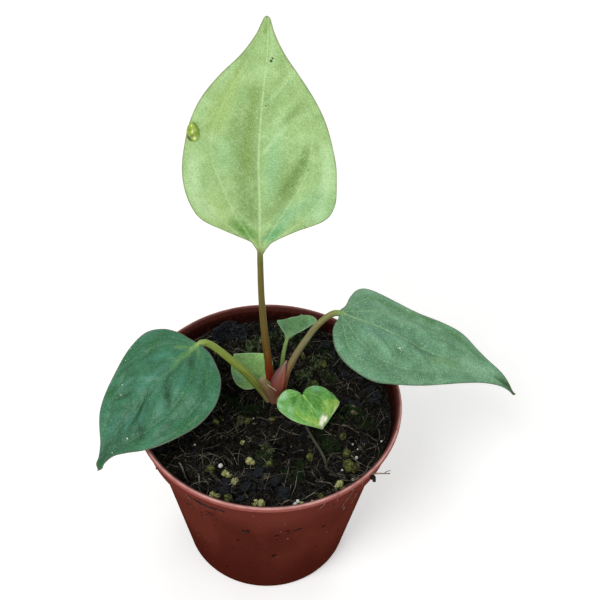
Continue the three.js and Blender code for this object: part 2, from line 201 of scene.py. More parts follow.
class Finish:
    def __init__(self, name, **fixed):
        self.material = bpy.data.materials.new(name)
        self.material.use_nodes = True
        self.tree = self.material.node_tree
        self.tree.nodes.clear()
        self.shader = self.tree.nodes.new("ShaderNodeBsdfPrincipled")
        output = self.tree.nodes.new("ShaderNodeOutputMaterial")
        self.tree.links.new(self.shader.outputs[0], output.inputs["Surface"])
        for socket, value in fixed.items():
            self.shader.inputs[socket.replace("_", " ")].default_value = value

    def plug(self, value, socket):
        if isinstance(value, Value):
            self.tree.links.new(value.socket, socket)
        elif socket.type == "RGBA" and len(value) == 3:
            socket.default_value = (*value, 1)
        else:
            socket.default_value = value

    def node(self, kind, settings, inputs, output=0):
        made = self.tree.nodes.new(kind)
        for name, value in settings.items():
            if name == "stops":
                self.setStops(made.color_ramp, value)
            else:
                setattr(made, name, value)
        for name, value in inputs.items():
            self.plug(value, made.inputs[name])
        return Value(self, made.outputs[output])

    def setStops(self, ramp, stops):
        while len(ramp.elements) < len(stops):
            ramp.elements.new(0.5)
        for element, (place, code) in zip(ramp.elements, stops):
            element.position = place
            element.color = (*tint(code), 1)

    def place(self):  # object coordinates, in millimetres
        metres = self.node("ShaderNodeTexCoord", {}, {}, "Object")
        return self.scaled(metres, 1 / mm)

    def scaled(self, vector, factor):
        size = factor if isinstance(factor, tuple) else (factor, factor, factor)
        return self.node("ShaderNodeVectorMath", {"operation": "MULTIPLY"}, {0: vector, 1: size})

    def moved(self, vector, by):
        return self.node("ShaderNodeVectorMath", {"operation": "ADD"}, {0: vector, 1: by})

    def read(self, name, output="Fac"):  # what note() kept
        return self.node("ShaderNodeAttribute", {"attribute_name": name}, {}, output)

    def noise(self, vector, scale, detail=3.0, rough=0.5, output="Fac"):
        inputs = {"Vector": vector, "Scale": scale, "Detail": detail, "Roughness": rough}
        return self.node("ShaderNodeTexNoise", {}, inputs, output)

    def cells(self, vector, scale, feature="F1", output="Distance"):
        inputs = {"Vector": vector, "Scale": scale}
        return self.node("ShaderNodeTexVoronoi", {"feature": feature}, inputs, output)

    def distance(self, vector, spot):
        return self.node("ShaderNodeVectorMath", {"operation": "DISTANCE"}, {0: vector, 1: spot}, "Value")

    def ramp(self, value, stops):
        return self.node("ShaderNodeValToRGB", {"stops": stops}, {0: value})

    def mix(self, share, first, second):
        return self.node("ShaderNodeMix", {"data_type": "RGBA"}, {0: share, 6: first, 7: second}, 2)

    def patch(self, vector, spot, degrees, size):  # the vector as seen from a turned and stretched spot
        turn = (0, 0, math.radians(degrees))
        inputs = {"Vector": vector, "Location": spot, "Rotation": turn, "Scale": size}
        return self.node("ShaderNodeMapping", {"vector_type": "TEXTURE"}, inputs)

    def wander(self, vector, scale, reach):  # the vector pushed about, for natural outlines
        push = self.moved(self.noise(vector, scale, 2.0, 0.5, "Color"), (-0.5, -0.5, -0.5))
        return self.moved(vector, self.scaled(push, 2 * reach))

    def bump(self, height, distance, strength=1.0):  # heights from 0 to 1 over a distance in millimetres
        inputs = {"Height": height, "Distance": distance * mm, "Strength": strength}
        self.tree.links.new(self.node("ShaderNodeBump", {}, inputs).socket, self.shader.inputs["Normal"])

    def lay(self, share, code):  # lays a web colour over the colour so far
        self.colour = self.mix(share, self.colour, tint(code))

    def paint(self, rough):
        self.plug(self.colour, self.shader.inputs["Base Color"])
        self.plug(rough, self.shader.inputs["Roughness"])


# Camera, at the photograph's view

view = {
    "place": (0, -285.99, 430.38),
    "ahead": (0.030986, 0.721591, -0.691625),
    "up": (-0.012211, 0.692179, 0.721622),
    "lens": 58.45,
}


def addCamera():
    camera = bpy.data.cameras.new("camera")
    camera.lens = view["lens"]
    camera.sensor_width = 36
    camera.clip_start = 0.01
    camera.clip_end = 30
    stand = bpy.data.objects.new("camera", camera)
    bpy.context.collection.objects.link(stand)
    ahead = Vector(view["ahead"])
    up = Vector(view["up"])
    right = ahead.cross(up)
    turn = Matrix((right, up, -ahead)).transposed().to_4x4()
    stand.matrix_world = Matrix.Translation(Vector(view["place"]) * mm) @ turn
    bpy.context.scene.camera = stand


addCamera()


# Light and floor

studio = {
    "sky": ("#ffffff", 0.4),
    "lamps": {  # place in metres, size, power, and the spot that it faces
        "keyLamp": ((-0.5, -0.62, 1.05), 0.6, 8.2),
        "fillLamp": ((0.8, -0.6, 0.7), 0.9, 1.6),
        "backLamp": ((0.3, 0.9, 0.8), 0.7, 2.4),
    },
    "floor": "#f6f6f4",
    "floorPale": "#fbfbfa",
}


def lightScene():
    world = bpy.data.worlds.new("studio")
    world.use_nodes = True
    sky = world.node_tree.nodes["Background"]
    code, strength = studio["sky"]
    sky.inputs["Color"].default_value = (*tint(code), 1)
    sky.inputs["Strength"].default_value = strength
    bpy.context.scene.world = world
    bpy.context.scene.view_settings.view_transform = "Standard"
    for name, (spot, size, power) in studio["lamps"].items():
        lamp = bpy.data.lights.new(name, "AREA")
        lamp.shape = "DISK"
        lamp.size = size
        lamp.energy = power
        holder = bpy.data.objects.new(name, lamp)
        holder.location = spot
        holder.rotation_euler = (Vector((0, 0, 0.1)) - Vector(spot)).to_track_quat("-Z", "Y").to_euler()
        bpy.context.collection.objects.link(holder)


def layFloor():
    unpickAll()
    bpy.ops.mesh.primitive_plane_add(size=8, location=(0, 0, -0.0002))
    floor = startPiece("floor")
    finish = Finish("floorPaper", Specular_IOR_Level=0.1, Emission_Strength=0.3)
    finish.plug(tint("#ffffff"), finish.shader.inputs["Emission Color"])
    grain = finish.noise(finish.place(), 0.05, 3.0)
    finish.colour = tint(studio["floor"])
    finish.lay(grain, studio["floorPale"])
    finish.paint(0.9)
    floor.data.materials.append(finish.material)


lightScene()
layFloor()
print("studio is ready")


# Pieces drawn up ring by ring from a disc

def drawRings(rings):  # extrudes what is selected through rings of radius and height
    for (before, low), (after, high) in zip(rings, rings[1:]):
        bpy.ops.mesh.extrude_region_move(TRANSFORM_OT_translate={"value": (0, 0, (high - low) * mm)})
        size = after / before
        bpy.ops.transform.resize(value=(size, size, 1), center_override=(0, 0, high * mm))


def turnedPiece(name, rings, around):
    unpickAll()
    radius, height = rings[0]
    bpy.ops.mesh.primitive_circle_add(
        vertices=around, radius=radius * mm, fill_type="NGON", location=(0, 0, height * mm)
    )
    piece = startPiece(name)
    editAll()
    drawRings(rings)
    leaveEdit()
    return piece


# Pot

pot = {
    "around": 192,
    "base": 39.6,
    "footRound": 2.2,
    "wallTop": 51.8,
    "wallFoot": 71,  # height where the ledge turns into the collar
    "collarFoot": 54.3,
    "collarTop": 59.2,
    "lipFoot": 93,
    "wall": 1.8,
    "ledge": [(51.3, 66.5), (52.2, 69.5), (53.2, 72.5), (54.3, 75.5), (55.3, 78.5)],  # radius and height
    "lip": [
        (59.3, 93.3), (59.7, 93.5), (60, 93.9), (60, 95), (59.85, 95.6), (59.5, 95.9),
        (59.2, 96), (58.8, 95.94), (58.4, 95.7), (58.1, 95.2), (57.6, 93.8),
    ],
    "ledgeInside": [(52.4, 72.6), (50.4, 71), (50, 70.4)],
    "drainHoles": 8,
    "drainRadius": 4,
    "drainCircle": 30,
    "clay": "#4c2018",
    "clayPale": "#5e2b21",
    # painted shade: the wall darker towards the foot
    "clayFootShade": "#42170f",
    # painted light: the collar lighter than the wall below it
    "collarLight": "#70362e",
    # painted highlight: the lighter band round the lip
    "lipHighlight": "#a9625b",
    # painted shade on the inside wall
    "insideShade": "#35110b",
    # painted glints along the top edge of the rim
    "rimGlintPink": "#dca8a2",
    "scratch": "#8a574c",
    "chalk": "#a98c80",
    "soilStain": "#1e0f0b",
    "specks": [  # angle round the pot, height, radius
        (-100.2, 64.4, 1.7), (-101.6, 65, 0.9), (-99.2, 66.2, 0.8), (-105.2, 53.2, 1.0), (-85, 61.2, 1.2),
        (-80, 65.6, 1.2), (-82, 73.8, 0.5), (-79.4, 70.6, 0.5), (-74.6, 64.8, 1.4), (-73.4, 65, 1.0),
        (-76.4, 64.2, 0.9), (-78.4, 74.2, 0.5), (-64.4, 74, 0.7), (-59.4, 57.6, 1.2), (-44, 38.4, 1.0),
        (-85.6, 39.6, 1.3), (-86.6, 38.6, 0.9), (-109.4, 42, 0.7), (-116.6, 16, 1.0), (-99.4, 30.4, 0.7),
        (-85.2, 56.8, 0.5), (-89.4, 29.6, 0.5), (-60.2, 36.8, 0.7), (-126.6, 71.2, 1.0),
        (-119.2, 76.4, 1.2), (-117, 77.8, 1.3), (-115.2, 78.2, 1.0), (-113, 81.2, 0.9), (-118.6, 71, 0.9),
        (-117.4, 61, 0.5), (35, 66, 1.2), (80, 50, 1.0), (128, 72, 1.3), (165, 58, 1.0),
    ],
}


def wallRadius(z):
    return pot["base"] + (pot["wallTop"] - pot["base"]) * z / pot["wallFoot"]


def collarRadius(z):
    rise = (z - pot["wallFoot"]) / (pot["lipFoot"] - pot["wallFoot"])
    return pot["collarFoot"] + (pot["collarTop"] - pot["collarFoot"]) * rise


def outsideSpot(angle, z, proud=0.0):  # a point on the outer wall, angle in degrees
    radius = (wallRadius(z) if z < pot["wallFoot"] else collarRadius(z)) + proud
    return radius * math.cos(math.radians(angle)), radius * math.sin(math.radians(angle)), z


def potRings():
    rings = []
    rounding = pot["footRound"]
    for degrees in range(0, 91, 15):
        angle = math.radians(degrees)
        radius = wallRadius(rounding) - rounding + rounding * math.sin(angle)
        rings.append((radius, rounding - rounding * math.cos(angle)))
    rings += [(wallRadius(z), z) for z in (12, 24, 36, 48, 57, 63)]
    rings += pot["ledge"]
    rings += [(collarRadius(z), z) for z in (82, 87, 92.6)]
    rings += pot["lip"]
    rings += [(collarRadius(z) - pot["wall"], z) for z in (92.8, 85, 78, 73.2)]
    rings += pot["ledgeInside"]
    rings += [(wallRadius(z) - pot["wall"], z) for z in (50, 25, 3)]
    rings.append((37.4, pot["wall"]))
    return rings


def potFinish():
    finish = Finish("mouldedClayPlastic", Specular_IOR_Level=0.0)
    place = finish.place()
    height = place.part("Z")
    clouds = finish.noise(finish.scaled(place, (1, 1, 0.4)), 0.04, 4.0)
    finish.colour = tint(pot["clay"])
    finish.lay(clouds.step(0.4, 0.65) * 0.8, pot["clayPale"])
    # painted shade, darker towards the foot
    finish.lay(height.step(8, 50, 0.75, 0.0), pot["clayFootShade"])
    # painted light on the collar
    finish.lay(height.step(58, 90) * 0.55, pot["collarLight"])
    mould = finish.noise(finish.scaled(place, (0.04, 0.04, 1.3)), 1.0, 3.0)  # faint rings left by the mould
    finish.lay(mould.step(0.5, 0.75) * 0.16, pot["clayPale"])
    # painted highlight on the lip band, broken up by noise
    lipHighlightBreakup = finish.noise(finish.scaled(place, (1, 1, 2.2)), 0.8, 4.0, 0.7).step(0.42, 0.66)
    finish.lay(height.step(93, 93.6) * (0.5 + 0.4 * lipHighlightBreakup), pot["lipHighlight"])
    # painted glints along the top edge of the rim, in patches
    rimGlint = height.step(95.2, 95.8) * finish.noise(place, 0.2, 3.0).step(0.3, 0.65, 0.4, 0.85)
    finish.lay(rimGlint, pot["rimGlintPink"])
    scratches = finish.noise(finish.scaled(place, (1, 1, 0.25)), 0.9, 5.0, 0.7).step(0.62, 0.76)
    finish.lay(scratches * 0.22, pot["scratch"])
    chalk = finish.cells(finish.wander(place, 0.6, 1.0), 0.22).step(0.05, 0.1, 1.0, 0.0)
    finish.lay(chalk * finish.noise(place, 0.05, 1.0).step(0.5, 0.6) * 0.5, pot["chalk"])
    # dry mix that sticks to the wall, mostly under the rim
    crowd = finish.noise(place, 0.05, 2.0).step(0.54, 0.7)
    dots = finish.cells(finish.wander(place, 0.9, 0.5), 0.36).step(0.12, 0.2, 1.0, 0.0)
    dirt = dots * crowd * height.step(10, 84)
    for angle, z, size in pot["specks"]:
        away = finish.distance(finish.wander(place, 1.1, 0.55), outsideSpot(angle, z))
        dirt = dirt + away.step(0.6 * size, 1.3 * size, 1.0, 0.0) * 0.7
    finish.lay(dirt.step(0.15, 0.85) * 0.9, pot["soilStain"])
    level = finish.distance(finish.scaled(place, (1, 1, 0)), (0, 0, 0))
    inside = (level - height * 0.2227).step(38.0, 37.4) * height.step(80, 80.5)
    soiled = inside * height.step(95.5, 90) * finish.noise(place, 0.35, 4.0).step(0.34, 0.5)
    # painted shade over the inside wall above the mix
    finish.lay(inside * 0.8, pot["insideShade"])
    finish.lay(soiled * 0.9, pot["soilStain"])
    finish.paint(0.44 + 0.16 * clouds + 0.3 * dirt.step(0.2, 0.8))
    finish.bump(mould * 0.3 + finish.noise(place, 0.9, 3.0) * 0.7, 0.2, 0.3)
    return finish


def makePot():
    piece = turnedPiece("potShell", potRings(), pot["around"])
    tidyNormals(piece)
    cutters = []
    for k in range(pot["drainHoles"]):
        turn = (k + 0.5) * 2 * math.pi / pot["drainHoles"]
        spot = (pot["drainCircle"] * math.cos(turn) * mm, pot["drainCircle"] * math.sin(turn) * mm, mm)
        unpickAll()
        bpy.ops.mesh.primitive_cylinder_add(
            vertices=28, radius=pot["drainRadius"] * mm, depth=6 * mm, location=spot
        )
        cutters.append(startPiece("drainHole"))
    pick(*cutters)
    bpy.ops.object.join()
    cutter = bpy.context.object
    drill = piece.modifiers.new("drill", "BOOLEAN")
    drill.operation = "DIFFERENCE"
    drill.solver = "EXACT"
    drill.object = cutter
    applyModifiers(piece)
    bpy.data.objects.remove(cutter)
    pick(piece)
    smoothUpTo(40)
    settle(piece, [potFinish()], "pot", "pot")


makePot()


# Growing mix

mix = {
    "level": 88,
    "radius": 56,
    "squares": 190,
    "crown": (3.2, 4.6),
    "peat": "#0a0908",
    "peatPale": "#1b1b16",
    "peatRed": "#16110d",
    "strand": "#4a4233",
    "fibre": "#57544a",
    "shadow": "#050404",
    "fleck": "#6d6450",
    "mossLow": "#1d2b12",
    "mossSpots": [  # x, y, radius of a mossy patch, and how light it is
        (-0.6, -23.5, 3.6, 0.9), (-3.4, -28, 4.2, 0.7), (0.6, -31, 3, 0.9), (13.4, -32.3, 4.6, 0.45),
        (12.4, -38.5, 4, 0.4), (8.5, -34, 3, 0.3), (26.2, -20.8, 4.4, 0.5), (29, -23, 3.6, 0.4),
        (24, -15, 4, 0.3), (31.5, -6, 4.6, 0.75), (35.6, 0.9, 4.6, 0.6), (39.6, -2, 4, 0.45),
        (43.5, -8, 4.6, 0.35), (50, -26, 3, 0.4), (-6, -1.6, 4, 0.4), (-10.5, -3, 4.4, 0.5),
        (-14.6, 1.6, 4, 0.35), (-19, 6, 4, 0.4), (-27, 52, 2.6, 0.5), (-15, 50, 3, 0.6), (-7.8, 38.7, 6, 1),
        (-12, 29, 5, 0.85), (-2.6, 42, 5, 1), (5, 46, 5, 0.8), (15, 41, 6, 0.7), (20, 12.8, 5, 0.75),
        (17, 19, 5, 1), (23, 27, 6, 0.95), (29, 34, 5, 0.4), (28, 18, 4, 0.5), (-38, 12, 6, 0.3),
        (-42, -6, 5, 0.3), (38, 32, 5, 0.4),
    ],
    "hollows": [  # x, y, reach, depth
        (-19, -24, 9, 2.6), (-27, -26, 6, 1.8), (7, -26, 4.5, 2.4), (6, -20, 5, 2), (-44, -24, 7, 1.8),
        (46, -3, 5, 1.6), (24, 7, 4, 1.4), (-30, 28, 8, 1.8), (-21, 18, 6, 1.6), (10, 30, 5, 1.4),
    ],
}


def relief(x, y):  # the same swell of the surface as the solid has
    swell = 0.9 * np.sin(0.11 * x + 1.3) * np.cos(0.13 * y - 0.6)
    clods = 0.7 * np.sin(0.43 * x - 0.31 * y + 2.1) + 0.6 * np.sin(0.37 * x + 0.52 * y)
    crumbs = 0.4 * np.sin(0.9 * x + 0.7 * y + 0.8) * np.sin(0.8 * y - 0.6 * x)
    mound = 1.6 * np.exp(-((x - 3.2) ** 2 + (y - 4.6) ** 2) / 500)
    return swell + clods + crumbs + mound - 0.6


def mixHeight(x, y):
    inland = np.clip((mix["radius"] - np.hypot(x, y)) / 4, 0, 1)
    rough = []
    for a, b in zip(np.ravel(x), np.ravel(y)):
        crumb = noise.fractal(Vector((a * 0.4, b * 0.4, 3.1)), 0.6, 2.1, 4)
        clod = noise.voronoi(Vector((a * 0.34, b * 0.34, 1.7)))[0][0]
        rough.append(0.95 * crumb - 1.9 * clod + 0.8)
    height = mix["level"] + relief(x, y) * inland + np.reshape(rough, np.shape(x)) * (0.25 + 0.75 * inland)
    for cx, cy, reach, depth in mix["hollows"]:
        height = height - depth * np.exp(-((x - cx) ** 2 + (y - cy) ** 2) / reach**2)
    for cx, cy, size, _ in mix["mossSpots"]:
        height = height + 0.7 * np.exp(-((x - cx) ** 2 + (y - cy) ** 2) / (0.6 * size) ** 2)
    return height


def mixFinish():
    finish = Finish("peatMix", Specular_IOR_Level=0.12)
    place = finish.place()
    grain = finish.noise(place, 1.1, 5.0, 0.75)
    strands = finish.noise(finish.wander(finish.scaled(place, (2.4, 0.5, 1)), 0.15, 2.5), 1.2, 4.0, 0.6)
    finish.colour = tint(mix["peat"])
    finish.lay(grain.step(0.45, 0.72), mix["peatPale"])
    patches = finish.noise(place, 0.09, 2.0).step(0.5, 0.66)
    finish.lay(patches * 0.4, mix["peatRed"])
    finish.lay(strands.step(0.6, 0.7) * 0.4, mix["strand"])
    loose = finish.wander(place, 0.2, 2.5)
    for degrees in (15, 70, 128):  # thin fibres that lie across each other
        lying = finish.patch(loose, (degrees, 0, 0), degrees, (6.0, 0.42, 2.5))
        thread = finish.noise(lying, 1.0, 2.0, 0.5).step(0.63, 0.68)
        finish.lay(thread * 0.5, mix["fibre"])
    low = place.part("Z").step(84.2, 87.6, 0.85, 0.0)
    finish.lay(low, mix["shadow"])
    edge = finish.scaled(finish.wander(place, 0.22, 3.0), (1, 1, 0))
    green = None
    for x, y, size, _ in mix["mossSpots"]:
        away = finish.distance(edge, (x, y, 0)).step(size * 0.4, size * 1.1, 1.0, 0.0)
        green = away if green is None else green + away
    fuzz = finish.noise(place, 1.9, 3.0).step(0.38, 0.6)
    finish.lay(green.step(0, 1.2) * (0.35 + 0.5 * fuzz), mix["mossLow"])
    flecks = finish.cells(finish.wander(place, 1.5, 0.3), 1.3).step(0.1, 0.16, 1.0, 0.0)
    rare = finish.noise(place, 0.5, 1.0).step(0.56, 0.64)
    finish.lay(flecks * rare * 0.7, mix["fleck"])
    finish.paint(0.85 + 0.1 * grain)
    finish.bump(grain * 0.6 + finish.cells(place, 0.9) * 0.5, 0.9, 0.9)
    return finish


def makeMixBody():
    unpickAll()
    squares = mix["squares"]
    bpy.ops.mesh.primitive_grid_add(x_subdivisions=squares, y_subdivisions=squares, size=2)
    piece = startPiece("mixBody")
    spots = corners(piece)
    a, b = spots[:, 0], spots[:, 1]
    wide = np.abs(a) > np.abs(b)
    radius = np.where(wide, a, b)
    safe = np.where(radius == 0, 1, radius)
    turn = np.where(wide, math.pi / 4 * b / safe, math.pi / 2 - math.pi / 4 * a / safe)
    x = mix["radius"] * radius * np.cos(turn)
    y = mix["radius"] * radius * np.sin(turn)
    shape(piece, np.stack([x, y, mixHeight(x, y)], -1) * mm)
    pick(piece)
    editAll()
    bpy.ops.mesh.region_to_loop()
    top = (mix["radius"], mix["level"])
    drawRings([top, (54, 79.5), (52.3, 73), (50, 70.6), (49.5, 69), (37.8, 2.2)])
    bpy.ops.mesh.edge_face_add()
    tidyNormals(piece, 80)
    settle(piece, [mixFinish()], "growing_mix", "growing_mix")


makeMixBody()


def strew(name, models, places, finish):  # copies of a few models, each its own mesh, joined to one piece
    copies = []
    for k, (spot, turn, size, tone) in enumerate(places):
        copy = models[k % len(models)].copy()
        copy.data = copy.data.copy()
        note(copy, "tone", np.full(len(copy.data.vertices), tone))
        copy.matrix_world = Matrix.LocRotScale(Vector(spot) * mm, Euler(turn), Vector(size))
        bpy.context.collection.objects.link(copy)
        copies.append(copy)
    pick(*copies)
    bpy.ops.object.join()
    piece = startPiece(name)
    for model in models:
        bpy.data.objects.remove(model)
    settle(piece, [finish], "growing_mix")


def anyTurn():
    return tuple(dice.uniform(0, 2 * math.pi, 3))


def somewhere(reach=54.5):  # a random spot on the mix
    radius = reach * math.sqrt(dice.uniform())
    turn = dice.uniform(0, 2 * math.pi)
    return radius * math.cos(turn), radius * math.sin(turn)


def heightAt(x, y):
    return float(mixHeight(np.array([x]), np.array([y]))[0])


def lumpModel(name, detail, rough, seed):  # a rounded lump of unit size
    unpickAll()
    bpy.ops.mesh.primitive_ico_sphere_add(subdivisions=detail, radius=1)
    piece = startPiece(name)
    spots = corners(piece)
    push = [noise.fractal(Vector(s) * 1.3 + Vector((seed, 0, 0)), 0.8, 2, 3) for s in spots]
    shape(piece, spots * (1 + rough * np.array(push))[:, None])
    bpy.ops.object.shade_smooth()
    return piece


# Crumbs of peat and bark

crumbs = {
    "fine": (2600, 0.2, 0.6),  # how many, smallest and largest
    "coarse": (320, 0.7, 1.8),
    "stops": [(0.0, "#070605"), (0.5, "#100f0b"), (0.8, "#201e17"), (1.0, "#77705a")],
    "grain": "#28261d",
}


def crumbFinish():
    finish = Finish("peatCrumb", Specular_IOR_Level=0.12)
    place = finish.place()
    grain = finish.noise(place, 1.8, 4.0, 0.65)
    finish.colour = finish.ramp(finish.read("tone"), crumbs["stops"])
    finish.lay(grain.step(0.5, 0.75) * 0.45, crumbs["grain"])
    finish.paint(0.8 + 0.15 * grain)
    finish.bump(grain, 0.3, 0.8)
    return finish


def makeCrumbs():
    for key, detail in (("fine", 1), ("coarse", 2)):
        count, small, large = crumbs[key]
        models = [lumpModel("crumb", detail, 0.6, k * 3.7) for k in range(6)]
        places = []
        for k in range(count):
            x, y = somewhere()
            size = small + (large - small) * dice.uniform() ** 2.5
            squash = (size * dice.uniform(0.8, 1.8), size, size * dice.uniform(0.5, 0.9))
            spot = (x, y, heightAt(x, y) + 0.2 * size)
            places.append((spot, anyTurn(), np.array(squash) * mm, dice.uniform() ** 1.7))
        strew(key + "Crumbs", models, places, crumbFinish())


makeCrumbs()


# Charcoal and bark: blocky lumps, and split shards that lean on each other

charcoal = {
    "stops": [(0.0, "#070809"), (0.5, "#0d1013"), (1.0, "#191511")],
    "split": "#2d3742",
    "dust": "#25241b",
    "chips": 160,
    "lumps": [  # x, y, radius, height over the mix
        (-25.5, 45.6, 3.8, 0.4), (-20, 46, 4.8, 0.6), (-14.6, 46.4, 4.2, 0.4), (-23.5, 42.6, 3.2, 0),
        (-24.4, 46.6, 3.6, 3.4), (-19.6, 47.6, 4, 3.8), (-15.4, 48, 3.4, 3), (-21.6, 48, 3, 6),
        (36, 21, 3.4, 0), (35.5, 4.4, 3.8, 0), (40, 2.6, 3.2, 0), (49.5, 6, 3.6, 0), (30, 33, 2.6, 0),
    ],
    "shards": [  # both ends, width
        ((-20.7, -38.4), (-13.9, -44.6), 3.4), ((-23.2, -44.1), (-16.6, -46), 2.6),
        ((-7, -33.6), (-9.2, -40.6), 2.8), ((-3.2, -33), (-5.4, -40.5), 3.4),
        ((-7.4, -41.1), (-10.8, -46.4), 2.8), ((-5, -41.5), (-5.9, -46.4), 1.6),
        ((-2.6, -41), (-3.6, -46), 2), ((5.3, -38.2), (0.6, -44.8), 3.2), ((4.3, -48.3), (9.2, -50), 2),
        ((3.9, -45.6), (9.4, -46.4), 2.6), ((-13.4, -50.4), (-8.2, -49.6), 1.8),
        ((-26, 46), (-14, 50), 3.6), ((44, 9), (50, 12), 3), ((-42, 22), (-38, 28), 2.6),
        ((24, 40), (31, 38), 2.4), ((14, -18), (18, -13), 1.8),
    ],
}


def charFinish():
    finish = Finish("charcoal", Specular_IOR_Level=0.22)
    place = finish.place()
    split = finish.noise(finish.scaled(place, (0.5, 1.8, 0.9)), 1.0, 4.0, 0.6)
    finish.colour = finish.ramp(finish.read("tone"), charcoal["stops"])
    finish.lay(split.step(0.5, 0.66) * 0.8, charcoal["split"])
    dust = finish.noise(place, 0.9, 4.0).step(0.58, 0.7)
    finish.lay(dust * 0.4, charcoal["dust"])
    finish.paint(0.5 + 0.3 * split)
    finish.bump(split * 0.7 + finish.noise(place, 2.4, 3.0) * 0.3, 0.6, 0.9)
    return finish


def blockModel(seed):  # a split block of unit size with broken corners
    unpickAll()
    bpy.ops.mesh.primitive_cube_add(size=2)
    piece = startPiece("charBlock")
    editAll()
    bpy.ops.mesh.subdivide(number_cuts=5)
    leaveEdit()
    spots = corners(piece)
    rounded = spots / np.maximum(1, np.linalg.norm(spots, axis=1, keepdims=True)) ** 0.3
    push = [noise.noise_vector(Vector(s) * 0.9 + Vector((seed, 2, 5))) for s in rounded]
    ridges = [noise.noise(Vector((s[0] * 0.6, s[1] * 3.5, s[2] * 2 + seed))) for s in rounded]
    shape(piece, rounded * (1 + 0.24 * np.array(ridges))[:, None] + 0.34 * np.array(push))
    smoothUpTo(14)
    return piece


def makeCharcoal():
    models = [blockModel(k * 5.3) for k in range(5)]
    places = []
    for x, y, size, lift in charcoal["lumps"]:
        for k in range(9):  # each lump is cracked into splinters that lie much the same way
            cx, cy = x + dice.uniform(-0.6, 0.6) * size, y + dice.uniform(-0.5, 0.5) * size
            inward = min(1, 53 / math.hypot(cx, cy))
            spot = (cx * inward, cy * inward, heightAt(x, y) + lift + dice.uniform(0, 0.6) * size)
            lean = (dice.normal(0, 0.5), dice.normal(0.3, 0.4), x + dice.normal(0, 0.35))
            splinter = np.array([dice.uniform(0.35, 0.6), dice.uniform(0.18, 0.32), dice.uniform(0.16, 0.3)])
            places.append((spot, lean, splinter * size * mm, dice.uniform(0, 0.6)))
    for (x1, y1), (x2, y2), width in charcoal["shards"]:
        low, high = heightAt(x1, y1), heightAt(x2, y2)
        length = math.hypot(x2 - x1, y2 - y1)
        bearing = math.atan2(y2 - y1, x2 - x1)
        for part in (-0.36, 0, 0.36):  # each shard is split lengthwise
            cx = (x1 + x2) / 2 - math.sin(bearing) * width * part
            cy = (y1 + y2) / 2 + math.cos(bearing) * width * part
            slip = dice.uniform(-0.1, 0.1) * length
            spot = (cx + math.cos(bearing) * slip, cy + math.sin(bearing) * slip, (low + high) / 2 + 0.9)
            lean = (dice.uniform(-0.5, 0.5), -math.atan2(high - low, length), bearing + dice.normal(0, 0.06))
            size = np.array([length * dice.uniform(0.38, 0.5), width * dice.uniform(0.17, 0.24), 0.8])
            places.append((spot, lean, size * mm, dice.uniform(0, 0.8)))
    for k in range(charcoal["chips"]):
        x, y = somewhere(53)
        size = np.array([dice.uniform(0.8, 2), dice.uniform(0.3, 0.8), dice.uniform(0.2, 0.5)])
        lean = (dice.normal(0, 0.4), dice.normal(0, 0.4), dice.uniform(0, 6.3))
        places.append(((x, y, heightAt(x, y) + 0.3), lean, size * mm, dice.uniform(0, 1)))
    strew("mixCharcoal", models, places, charFinish())


makeCharcoal()


# Feed granules grown over with algae, and white grit

granules = {
    "dullSkin": ("#2a2d12", "#6f7336"),
    "brightSkin": ("#4c4a1a", "#a9ab6c"),
    "crust": "#dcdfae",
    "grit": "#dfe0d8",
    "pit": "#16140b",
    "bright": [  # x, y, radius; each is two granules stuck together
        (-5.1, -51.6, 1.7), (-2.5, -51.8, 2), (-23.1, -47, 1.5), (-21.2, -47.4, 1.5), (-18.7, -34.9, 1.5),
        (-17, -36.6, 1.4), (-14, -40.2, 1.7), (-11.1, -18.4, 1.4), (30.6, -42.1, 1.9), (-8, -30.1, 1.9),
        (14.5, -51.2, 1.2), (19.1, -51, 1.2),
    ],
    "dull": [
        (-23.6, -8.8, 1.8), (-20.6, -6.4, 1.4), (-12.7, -6.1, 1.9), (-9.2, -8.3, 1.7), (1.7, -6.6, 2),
        (-24.5, -33.8, 2), (-16.5, -49, 2.1), (-9.6, -48.4, 1.8), (0.7, -31.2, 1.5), (22.5, -47.7, 1.4),
        (35.1, -33.3, 2.9), (32.4, -44, 1.4), (34.3, -26.1, 2), (33, -17.6, 1.8), (18.3, -26.9, 1.7),
        (26, 26, 1.8), (21, 14, 1.5), (-38, 8, 1.6), (-40, -14, 1.5), (16, 34, 1.6),
    ],
    "white": [
        (-20.4, -32.1, 1.15), (11.7, -52, 1.15), (12.8, -50.4, 0.9), (37.2, -21, 0.65), (38.6, -27.6, 0.75),
        (32, -34.5, 0.5), (50.4, -17.8, 0.6), (39.2, -24.3, 0.4), (33.3, -6, 0.45), (-6.6, -7, 0.45),
        (-32, -22, 0.5), (17.4, 15, 0.5), (36.5, -38.4, 0.7),
    ],
}


def granuleFinish():
    finish = Finish("algaeGranule", Specular_IOR_Level=0.25)
    place = finish.place()
    tone = finish.read("tone")
    crust = finish.noise(place, 0.9, 4.0, 0.65)
    fine = finish.cells(finish.wander(place, 1.2, 0.4), 1.5)
    dull = finish.mix(crust.step(0.4, 0.62), *map(tint, granules["dullSkin"]))
    bright = finish.mix(crust.step(0.36, 0.56), *map(tint, granules["brightSkin"]))
    bright = finish.mix(fine.step(0.1, 0.45, 0.85, 0.0), bright, tint(granules["crust"]))
    finish.colour = finish.mix(tone.step(0.2, 0.5), dull, bright)
    finish.lay(tone.step(0.7, 0.9), granules["grit"])
    pits = finish.noise(finish.moved(place, (9, 4, 2)), 0.7, 4.0, 0.6)
    finish.lay(pits.step(0.42, 0.34) * 0.85, granules["pit"])
    finish.paint(0.6 + 0.2 * crust)
    finish.bump(fine * 0.6 + crust * 0.4, 0.6, 0.9)
    return finish


